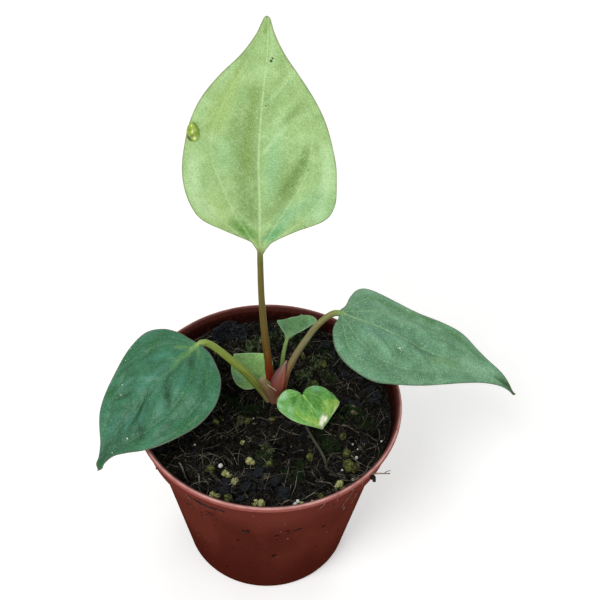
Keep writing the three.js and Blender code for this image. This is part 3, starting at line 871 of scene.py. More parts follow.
def makeGranules():
    models = [lumpModel("granule", 3, 0.2, k * 2.1) for k in range(6)]
    places = []
    for tone, key in ((0.05, "dull"), (0.55, "bright"), (1, "white")):
        for x, y, size in granules[key]:
            spot = (x, y, heightAt(x, y) + 0.4 * size)
            places.append((spot, anyTurn(), np.array([1, 0.9, 0.8]) * size * mm, tone))
            for k in range(0 if key == "white" else 1):
                turn = dice.uniform(0, 2 * math.pi)
                part = size * dice.uniform(0.4, 0.7)
                away = 0.85 * size
                near = (x + away * math.cos(turn), y + away * math.sin(turn), spot[2] - 0.2 * size)
                grainSize = np.array([1, 0.9, 0.8]) * part * mm
                places.append((near, anyTurn(), grainSize, tone * dice.uniform(0.5, 1)))
    strew("mixGranules", models, places, granuleFinish())


makeGranules()


# Moss: small shoots of narrow leaves that crowd in patches

moss = {
    "crowding": 3.4,
    "shootHeight": 1.9,
    "leaves": 7,
    "stops": [(0.0, "#10180a"), (0.35, "#1f3016"), (0.7, "#3f552c"), (1.0, "#76865a")],
    "grain": "#3b4a26",
}


def shootModel(seed):
    spikes = []
    for k in range(moss["leaves"]):
        unpickAll()
        bpy.ops.mesh.primitive_cone_add(vertices=3, radius1=0.12, depth=1, location=(0, 0, 0.5))
        spike = startPiece("spike")
        turn = k * 2.4 + seed
        lean = 0.2 + 0.9 * (k % 4) / 3
        spike.matrix_world = Matrix.LocRotScale(
            Vector((0, 0, 0.08 * k)), Euler((0, lean, turn)), Vector((1, 1, 0.8))
        )
        spikes.append(spike)
    pick(*spikes)
    bpy.ops.object.join()
    return startPiece("shoot")


def mossFinish():
    finish = Finish("moss", Specular_IOR_Level=0.12)
    place = finish.place()
    grain = finish.noise(place, 0.9, 3.0)
    finish.colour = finish.ramp(finish.read("tone"), moss["stops"])
    finish.lay(grain.step(0.5, 0.7) * 0.35, moss["grain"])
    finish.paint(0.7 + 0.2 * grain)
    return finish


def makeMoss():
    models = [shootModel(k * 1.9) for k in range(3)]
    places = []
    for cx, cy, size, light in mix["mossSpots"]:
        for k in range(int(moss["crowding"] * size * size) + 10):
            away = size * dice.uniform() ** 0.65
            turn = dice.uniform(0, 2 * math.pi)
            x = cx + away * math.cos(turn)
            y = cy + away * math.sin(turn)
            if math.hypot(x, y) > 55:
                continue
            tall = moss["shootHeight"] * dice.uniform(0.5, 1.1) * (1.2 - 0.5 * away / size)
            lean = (dice.normal(0, 0.5), dice.normal(0, 0.5), dice.uniform(0, 6.3))
            spot = (x, y, heightAt(x, y) - 0.3)
            tone = min(1, light * dice.uniform(0.4, 1.2))
            places.append((spot, lean, np.array([1, 1, 1]) * tall * mm, tone))
    strew("mixMoss", models, places, mossFinish())


makeMoss()


# Root hairs, bark fibres and sticks

threads = {
    "skins": {  # dark and pale colour of each kind
        "rootHair": ("#3e3a30", "#a8a18c"),
        "paleRoot": ("#4c473a", "#958d7a"),
        "brownTwig": ("#342b23", "#756a5c"),
        "darkFibre": ("#15130f", "#4a4435"),
        "wallDirt": ("#120908", "#2e1712"),
        "rimRoot": ("#5c4c40", "#9c8674"),
        "drySliver": ("#cfc2b4", "#f0e8dc"),
    },
    "knot": "#19140f",
    "pale": {"count": 420, "length": (4, 16), "thick": (0.04, 0.09), "step": 1.4, "curl": 0.13},
    "dark": {"count": 760, "length": (2, 10), "thick": (0.05, 0.15), "step": 1.3, "curl": 0.1},
    "roots": [  # routes of x, y and height over the mix, then thickness
        ([(13.4, -49.4, 1.4), (19.2, -47.7, 2.2), (24, -45.4, 2)], 0.26),
        ([(5.3, -52.7, 0.6), (9, -51.1, 1.5), (12.2, -50, 1.4)], 0.18),
        ([(2, -53, 0.4), (5.7, -52.3, 1.2), (9.4, -50.5, 1)], 0.16),
        ([(1, -36.5, 0.6), (-0.2, -41.1, 1.6), (-1.3, -45.6, 0.8)], 0.17),
        ([(9.3, -29.4, 0.6), (8.6, -35.8, 2), (7.1, -42.7, 1)], 0.16),
        ([(13.1, -35.2, 1), (11.8, -42.7, 2.2), (9.7, -50, 1)], 0.17),
        ([(24.7, -38, 0.6), (26.2, -36.5, 1.4), (28.1, -36.2, 1.4), (29.5, -37.1, 0.5)], 0.18),
        ([(25.9, -30.4, 0.4), (26.4, -28.6, 1.4), (28.4, -27.3, 1.8), (32.3, -27.4, 0.8)], 0.18),
        ([(35.2, -17, 0.6), (37.2, -15.8, 1.4), (40.7, -15.7, 0.8)], 0.19),
        ([(39.7, -16.9, 1), (39.4, -18.4, 1.2), (39, -19.8, 0.4)], 0.14),
        ([(41.1, -17.9, 1), (40.4, -21.6, 0.5)], 0.14),
        ([(48.3, -19.6, 1.2), (48.7, -24.8, 1.6), (46.9, -30.2, 1.6), (44.7, -33.8, 1)], 0.2),
        ([(36.2, -26.7, 0.6), (38.9, -30.3, 1.6), (42.1, -32.6, 2.2), (45.3, -34.6, 2)], 0.26),
        ([(38.4, -38.5, 0.8), (42.4, -35.5, 2), (43.6, -31.4, 1.8), (45.5, -29, 0.8)], 0.2),
        ([(28.3, -31, 0.6), (30.2, -30.4, 1.2), (31.5, -28.6, 0.5)], 0.13),
        ([(-29.4, -42.4, 0.6), (-28.3, -45.2, 1.2), (-26.8, -47.7, 1.6), (-24.8, -49.2, 1.4)], 0.17),
        ([(-43.4, -33.6, 0.8), (-39.8, -28.7, 1.8), (-33.3, -26.3, 1)], 0.2),
        ([(-9.5, -17.4, 0.8), (-6.5, -16.9, 1.4), (-3.6, -17.6, 0.6)], 0.15),
        ([(2.3, -19.2, 0.6), (4.2, -14.2, 1.8), (7, -9.1, 0.8)], 0.17),
        ([(17.9, 20.8, 0.6), (18.5, 16.5, 1.6), (17.9, 12.1, 0.6)], 0.16),
        ([(26.4, 23.5, 0.6), (28, 20, 1.4), (29, 17.2, 0.6)], 0.18),
        ([(25.7, 15.3, 0.6), (29.9, 14.7, 1.4), (34.6, 16, 0.8)], 0.18),
        ([(-36, 37, 0.5), (-32, 43.6, 2.6), (-24, 48.6, 5), (-16, 51, 5.6)], 0.12),
        ([(-42, 31, 0.5), (-38, 37.4, 2.8), (-31.4, 43.4, 3.8), (-27, 45, 2)], 0.12),
        ([(2, 51.6, 0.5), (10, 51, 3), (20, 48, 4), (27, 44, 3)], 0.12),
        ([(39, 35, 1), (35, 40, 3), (27.6, 45, 4), (20, 47.6, 3)], 0.12),
    ],
    "twigs": [
        ([(-33.9, -16.4, 0.6), (-27.6, -16.7, 1.6), (-22, -11.3, 1)], 0.3),
        ([(-27.5, -18.5, 0.8), (-22.7, -15.7, 1.6), (-16.7, -12.4, 0.8)], 0.26),
        ([(-33.2, -16.4, 0.8), (-32.7, -20.4, 0.4)], 0.22), ([(-27.4, -16.4, 1.2), (-27.5, -21, 0.4)], 0.2),
        ([(-2.7, -12.4, 0.6), (-1.4, -16.1, 1.6), (-0.9, -19.2, 1.4), (0.6, -21, 0.6)], 0.26),
        ([(33, -10.7, 0.6), (36.9, -12.3, 1.4), (42.7, -15.7, 1.8), (48.4, -19.3, 1.4)], 0.34),
        ([(20.4, -39.2, 1), (24.6, -41.4, 1.6), (28.5, -42.8, 1.2)], 0.46),
        ([(31.1, -38.8, 1), (35.5, -39.6, 1.8), (39.8, -39.2, 1.4)], 0.36),
        ([(-37.9, -31.5, 0.9), (-35.7, -35.8, 1.3), (-33.5, -40.4, 1)], 0.6),
        ([(-29.6, -36.4, 0.7), (-29, -41, 0.9)], 0.75), ([(27.7, -33.3, 0.6), (26.2, -35.4, 0.8)], 0.24),
        ([(-12, 20, 0.6), (-7, 24, 1.4), (-1, 25, 0.8)], 0.24),
        ([(30, 25, 0.6), (34, 28, 1.4), (40, 27, 0.8)], 0.26),
        ([(-46, 4, 0.6), (-41, 1, 1.4), (-36, 2, 0.8)], 0.26),
    ],
}


def layThreads(name, routes, finish, slotName="growing_mix"):  # round threads, each a route and its radius
    curve = bpy.data.curves.new(name, "CURVE")
    curve.dimensions = "3D"
    curve.bevel_depth = mm
    curve.bevel_resolution = 1
    curve.use_fill_caps = True
    for route, radius in routes:
        spline = curve.splines.new("POLY")
        spline.points.add(len(route) - 1)
        for k, (point, spot) in enumerate(zip(spline.points, route)):
            point.co = (*(np.array(spot) * mm), 1)
            point.radius = radius * (1 - 0.5 * k / len(route))
    piece = bpy.data.objects.new(name, curve)
    bpy.context.collection.objects.link(piece)
    pick(piece)
    bpy.ops.object.convert(target="MESH")
    bpy.ops.object.shade_smooth()
    settle(bpy.context.object, [finish], slotName)


def wanderingRoutes(kind):
    values = threads[kind]
    routes = []
    for _ in range(values["count"]):
        x, y = somewhere(53)
        turn = dice.uniform(0, 2 * math.pi)
        steps = int(dice.uniform(*values["length"]) / values["step"]) + 2
        hop = dice.uniform(0.2, 2)
        bend = dice.normal(0, values["curl"])  # each keeps to its own curve
        route = []
        for n in range(steps):
            if math.hypot(x, y) < 55:
                route.append([x, y, hop * math.sin(math.pi * n / (steps - 1))])
            turn += bend + dice.normal(0, 0.3 * values["curl"])
            x += values["step"] * math.cos(turn)
            y += values["step"] * math.sin(turn)
        if len(route) > 2:
            low, high = heightAt(*route[0][:2]), heightAt(*route[-1][:2])
            for n, spot in enumerate(route):
                spot[2] += low + (high - low) * n / (len(route) - 1)
            routes.append((route, dice.uniform(*values["thick"])))
    return routes


def laidRoutes(key):
    routes = []
    for points, thick in threads[key]:
        line = smoothLine(points, np.linspace(0, 1, 6 * len(points)), True)
        sway = np.array([noise.noise_vector(Vector(p) * 0.25) for p in line]) * 0.25
        floor = mixHeight(line[:, 0], line[:, 1])
        floor = np.maximum(floor, np.minimum(floor[0], floor[-1]) - 0.6)
        line = line + sway
        line[:, 2] = floor + line[:, 2] * 0.8
        routes.append((line, 0.75 * thick))
    return routes


def threadFinish(name):
    dark, pale = threads["skins"][name]
    finish = Finish(name, Specular_IOR_Level=0.15)
    place = finish.place()
    tone = finish.noise(place, 0.25, 3.0)
    fine = finish.noise(place, 1.7, 2.0)
    finish.colour = tint(dark)
    finish.lay(tone.step(0.35, 0.65), pale)
    finish.lay(fine.step(0.52, 0.68) * 0.5, threads["knot"])
    finish.paint(0.7 + 0.15 * fine)
    return finish


def makeThreads():
    layThreads("mixHairs", wanderingRoutes("pale"), threadFinish("rootHair"))
    layThreads("mixRoots", laidRoutes("roots"), threadFinish("paleRoot"))
    layThreads("mixTwigs", laidRoutes("twigs"), threadFinish("brownTwig"))
    layThreads("mixFibres", wanderingRoutes("dark"), threadFinish("darkFibre"))


makeThreads()


# Shapes that follow a stem

stems = {
    "petiole_left": {
        "route": [
            (1.2, 2.9, 88.5), (-2.9, 2.9, 96.5), (-8.4, 3.1, 105.4), (-13, 3.6, 111.3), (-18.8, 4.6, 117.4),
            (-23.4, 5.2, 122), (-26.7, 5, 124.9), (-28.8, 4.1, 126), (-30.3, 2.8, 126),
        ],
        "into": (-33.4, 0, 123.9),
        "radii": (1.9, 1.35),
        "slot": "petiole_left",
        "stops": [
            (0, "#8a5f4c"), (0.1, "#84704a"), (0.2, "#788336"), (0.32, "#7a8c2e"), (0.5, "#86973e"),
            (0.8, "#869b46"), (1, "#90ae5c"),
        ],
        "streak": "#a9b160",
        "shade": "#5c6a26",
    },
    "petiole_back": {
        "route": [
            (2.6, 7.2, 88.5), (0.5, 8.4, 101), (-0.5, 10, 110.6), (-1.7, 12.5, 119.6), (-2.9, 16, 131.6),
            (-3.8, 19.8, 143.2), (-4.4, 26, 158.7),
        ],
        "into": (-4.4, 27.3, 162.8),
        "radii": (2, 1.3),
        "foot": 0.35,
        "slot": "petiole_back",
        "stops": [
            (0, "#8c2c24"), (0.14, "#8e2618"), (0.24, "#852910"), (0.31, "#72380e"), (0.38, "#694612"),
            (0.6, "#68581e"), (0.85, "#5c5720"), (0.95, "#5f5f26"), (1, "#74803a"),
        ],
        "streak": "#87702f",
        "shade": "#4a2a10",
    },
    "petiole_right": {
        "route": [
            (3.8, 3.5, 88.5), (6.2, 4.8, 101), (8.6, 6.1, 107.8), (11.9, 9, 114.2), (16.3, 12, 120.9),
            (20.5, 15, 125.9), (25, 17.4, 129.3), (28.2, 18.3, 130.9), (30.6, 18.1, 131),
        ],
        "into": (34.4, 17.7, 128),
        "radii": (1.6, 1.4),
        "foot": 1.7,  # how much thicker it is at its foot
        "slot": "petiole_right",
        "stops": [
            (0, "#93412c"), (0.1, "#9c4c30"), (0.2, "#946040"), (0.32, "#80704a"), (0.5, "#7c7850"),
            (0.66, "#7c7a46"), (0.85, "#838448"), (1, "#80a05a"),
        ],
        "streak": "#9c9d74",
        "shade": "#55502f",
    },
    "stalk_small_left": {
        "route": [(-1.4, 11.6, 82), (-1.4, 11.2, 90), (-2.7, 8.6, 95.6)],
        "into": (-4.2, 9.6, 95.6),
        "radii": (0.9, 0.75),
        "slot": "stalk_small",
        "stops": [(0, "#4b5a28"), (0.5, "#5c7a34"), (1, "#6b9445")],
        "streak": "#88a860",
        "shade": "#3d4f20",
    },
    "stalk_small_back": {
        "route": [
            (5.2, 12.4, 82), (5.3, 12.6, 92), (6.1, 16, 101.5), (6.8, 19.6, 105.2), (8.1, 24.3, 107.9),
        ],
        "into": (8.8, 26, 108.3),
        "radii": (1.15, 0.85),
        "slot": "stalk_small",
        "stops": [(0, "#5c6c34"), (0.4, "#7b984c"), (0.8, "#8aa65a"), (1, "#90ae68")],
        "streak": "#a8bd80",
        "shade": "#52682f",
    },
    "stalk_front": {
        "route": [
            (26.4, -33, 81), (25.2, -31.1, 88), (23, -27, 91), (19.6, -21.6, 93), (16.6, -16, 95.4),
            (14.6, -9, 98.6), (14.3, -4, 101.1),
        ],
        "into": (15.4, -5.2, 101),
        "radii": (0.62, 0.55),
        "slot": "stalk_front",
        "stops": [(0, "#24221a"), (0.3, "#37382a"), (0.6, "#2f3222"), (0.85, "#3f552a"), (1, "#5a8e3e")],
        "streak": "#74755a",
        "shade": "#1c1b10",
    },
}


def stemFrame(stem, parts):  # centre, and the forward and side directions, at parts of the length
    parts = np.clip(parts, 0.0002, 0.9998)  # inside the route, where it still has a direction
    centre = smoothLine(stem["route"], parts, True)
    before = smoothLine(stem["route"], parts - 0.0001, True)
    after = smoothLine(stem["route"], parts + 0.0001, True)
    ahead = unit(after - before)
    facing = np.array([0, -1, 0])
    front = unit(facing - (ahead @ facing)[:, None] * ahead)
    return centre, front, np.cross(ahead, front)


def stemRadius(stem, parts):
    return stem["radii"][0] + (stem["radii"][1] - stem["radii"][0]) * np.asarray(parts)


def stemFinish(name, values):
    finish = Finish(name, Specular_IOR_Level=0.25)
    along = finish.read("along")
    wrap = finish.read("wrap", "Vector")  # a cylinder's own place: round it and along it
    place = finish.place()
    finish.colour = finish.ramp(along, values["stops"])
    lengthwise = finish.noise(finish.scaled(wrap, (1.6, 1.6, 0.09)), 1.0, 4.0, 0.6)
    finish.lay(lengthwise.step(0.5, 0.68) * 0.5, values["streak"])
    finish.lay(lengthwise.step(0.48, 0.34) * 0.5, values["shade"])
    spots = finish.cells(finish.wander(place, 1.2, 0.3), 1.1).step(0.12, 0.2, 1.0, 0.0)
    finish.lay(spots * finish.noise(place, 0.4, 2.0).step(0.52, 0.6) * 0.4, values["shade"])
    fine = finish.noise(place, 2.6, 3.0)
    finish.lay(fine.step(0.55, 0.75) * 0.25, values["streak"])
    finish.paint(0.4 + 0.2 * fine)
    finish.bump(lengthwise * 0.8 + fine * 0.2, 0.25, 0.6)
    return finish


def makeStem(name, stem):
    unpickAll()
    bpy.ops.mesh.primitive_cylinder_add(vertices=24, radius=1, depth=1, location=(0, 0, 0.5))
    piece = startPiece(name)
    for edge in piece.data.edges:
        low, high = (piece.data.vertices[k].co.z for k in edge.vertices)
        edge.select = abs(low - high) > 0.5
    for face in piece.data.polygons:
        face.select = False
    bpy.context.tool_settings.mesh_select_mode = (False, True, False)  # edges stay picked in edit mode
    bpy.ops.object.mode_set(mode="EDIT")
    bpy.ops.mesh.subdivide(number_cuts=71)
    leaveEdit()
    spots = corners(piece)
    parts = spots[:, 2]
    turn = np.arctan2(spots[:, 1], spots[:, 0])
    longer = {"route": stem["route"] + [stem["into"]]}  # it runs on under the blade, and tapers there
    centre, front, side = stemFrame(longer, parts)
    spans = len(stem["route"])
    parts = parts * spans / (spans - 1)
    taper = 1 - 0.45 * between(1, spans / (spans - 1), parts)
    fluted = 1 + 0.05 * np.cos(2 * turn + 0.6) + 0.035 * np.cos(5 * turn + 3 * parts)
    wrapped = np.stack([parts * 9, np.cos(turn), np.sin(turn) + 4], -1)
    knobs = [noise.fractal(Vector(w), 1, 2, 2) for w in wrapped]
    plain = stemRadius(stem, np.minimum(parts, 1)) + stem.get("foot", 0) * bell(parts, 0.16)
    radius = plain * taper * fluted * (1 + 0.05 * np.array(knobs))
    radius = (radius * np.hypot(spots[:, 0], spots[:, 1]))[:, None]
    skin = centre + front * radius * np.cos(turn)[:, None] + side * radius * np.sin(turn)[:, None]
    shape(piece, skin * mm)
    length = np.linalg.norm(np.diff(np.array(stem["route"]), axis=0), axis=1).sum()
    note(piece, "along", np.minimum(parts, 1))
    note(piece, "wrap", np.stack([np.cos(turn), np.sin(turn), parts * length], -1))
    pick(piece)
    smoothUpTo(50)
    settle(piece, [stemFinish(name + "Skin", stem)], stem["slot"], name)


for stemName, stemValues in stems.items():
    makeStem(stemName, stemValues)


# Crown, with the petiole feet set in it

crown = {
    "x": 3.2,
    "y": 4.6,
    "rings": [(2.2, 61), (4, 72), (5, 84), (5, 88), (4.6, 90.5), (3.8, 92.4), (2.8, 93.6), (1.2, 94.2)],
    "skin": "#5e2a1e",
    "deep": "#2a140e",
    "pale": "#7a5a40",
}


def crownFinish():
    finish = Finish("crownSkin", Specular_IOR_Level=0.2)
    place = finish.place()
    height = place.part("Z")
    bark = finish.noise(finish.scaled(place, (0.7, 0.7, 0.25)), 1.0, 4.0, 0.6)
    finish.colour = tint(crown["skin"])
    finish.lay(bark.step(0.4, 0.65), crown["pale"])
    finish.lay(height.step(94, 89), crown["deep"])
    scars = finish.noise(finish.scaled(place, (0.1, 0.1, 1.3)), 1.0, 3.0).step(0.5, 0.62)
    finish.lay(scars * 0.4, crown["deep"])
    finish.paint(0.5 + 0.3 * bark)
    finish.bump(bark * 0.6 + scars * 0.4, 0.5, 0.8)
    return finish


def makeCrown():
    piece = turnedPiece("crownStem", crown["rings"], 40)
    editAll()
    bpy.ops.transform.translate(value=(crown["x"] * mm, crown["y"] * mm, 0))
    leaveEdit()
    smooth = piece.modifiers.new("smooth", "SUBSURF")
    smooth.levels = 1
    smooth.render_levels = 1
    applyModifiers(piece)
    spots = corners(piece) / mm
    push = np.array([noise.fractal(Vector(s) * 0.3, 0.8, 2, 3) for s in spots])
    outward = spots - np.array([crown["x"], crown["y"], 0])
    outward[:, 2] = 0
    shape(piece, (spots + outward * 0.07 * push[:, None]) * mm)
    tidyNormals(piece, 60)
    settle(piece, [crownFinish()], "crown", "crown")


makeCrown()


# Papery sheaths round the petiole feet

sheaths = {
    "sheath_left": {
        "route": [(3.1, 2.7, 87.5), (1.6, 2.4, 94), (-0.6, 2.3, 99.6), (-2.5, 2.5, 103.8), (-3.8, 2.8, 107)],
        "widths": [(0, 2), (0.3, 2.1), (0.6, 2), (0.85, 1.7), (1, 1.3)],
        "peak": 3.4,
        "turn": 8,
        "spread": 210,
        "edge": 1,  # the side whose edge shows as a rim
        "thick": 0.3,
        "stops": [(0, "#9a6658"), (0.2, "#976c52"), (0.5, "#8a704b"), (0.75, "#857a52"), (1, "#938f6c")],
        "side": ("#7b8c34", -0.35, -0.9),  # colour it turns to, from where to where across
        "vein": "#6e5638",
        "rim": "#a08c6e",
        "flush": "#94604a",
    },
    "sheath_right": {
        "route": [
            (3.6, 4, 87.5), (3.8, 4.2, 94.2), (4.6, 4.5, 99.6), (6.6, 5.3, 104.6), (8.6, 6.2, 108.4),
            (9.8, 7, 111),
        ],
        "widths": [(0, 2.6), (0.2, 3.1), (0.4, 3.9), (0.6, 3.5), (0.8, 2.6), (1, 2)],
        "peak": 1.6,
        "turn": -99,
        "spread": 300,
        "edge": -1,
        "thick": 0.25,
        "stops": [
            (0, "#803828"), (0.25, "#7a322a"), (0.45, "#74403f"), (0.68, "#846160"), (0.86, "#96807a"),
            (0.95, "#cfc4bc"),
        ],
        "side": ("#8d4f39", 0.32, 0.85),
        "vein": "#5a1c1a",
        "rim": "#8a625a",
        "flush": "#8f4a38",
    },
}


def sheathFinish(name, values):
    finish = Finish(name, Specular_IOR_Level=0.25)
    flat = finish.read("flat", "Vector")
    place = finish.place()
    finish.colour = finish.ramp(flat.part("X"), values["stops"])
    sideCode, start, end = values["side"]
    finish.lay(flat.part("Y").step(start, end) * 0.85, sideCode)
    ribs = finish.noise(finish.scaled(flat, (1.2, 7.0, 1)), 1.0, 3.0)
    finish.lay(ribs.step(0.52, 0.66) * 0.45, values["vein"])
    blush = finish.noise(finish.scaled(flat, (2.0, 2.5, 1)), 1.0, 2.0).step(0.45, 0.62)
    finish.lay(blush * 0.35, values["flush"])
    rim = flat.part("Z").step(0.78, 0.99)
    finish.lay(rim * 0.6, values["rim"])
    fine = finish.noise(place, 2.2, 4.0)
    finish.lay(fine.step(0.56, 0.74) * 0.3, values["rim"])
    finish.paint(0.45 + 0.25 * fine)
    finish.bump(ribs * 0.7 + fine * 0.3, 0.3, 0.7)
    return finish


def makeSheath(name, values):
    unpickAll()
    bpy.ops.mesh.primitive_grid_add(x_subdivisions=44, y_subdivisions=44, size=2)
    piece = startPiece(name)
    spots = corners(piece)
    along = np.clip((spots[:, 0] + 1) / 2, 0, 1)
    across = spots[:, 1]
    ragged = np.array([noise.noise(Vector((a * 5, b * 2, 7))) for a, b in zip(along, across)])
    centre, front, side = stemFrame(values, along * (1 + 0.04 * ragged * along))
    width = values["spread"] * np.clip(1 - 0.99 * along ** values["peak"], 0, 1) ** 0.7
    angle = np.radians(values["turn"] + width * across / 2)
    widths = np.array(values["widths"])
    radius = np.interp(along, widths[:, 0], widths[:, 1])
    radius = (radius + 0.12 * np.abs(across) ** 3 + 0.2 * ragged * along)[:, None]
    wall = centre + front * radius * np.cos(angle)[:, None] + side * radius * np.sin(angle)[:, None]
    shape(piece, wall * mm)
    note(piece, "flat", np.stack([along, across, np.maximum(values["edge"] * across, along)], -1))
    shell = piece.modifiers.new("shell", "SOLIDIFY")
    shell.thickness = values["thick"] * mm
    shell.offset = -1
    applyModifiers(piece)
    tidyNormals(piece, 60)
    settle(piece, [sheathFinish(name + "Skin", values)], name, name)


for sheathName, sheathValues in sheaths.items():
    makeSheath(sheathName, sheathValues)


# Blades: a flat outline carried onto a bent and arched surface, with veins and swellings

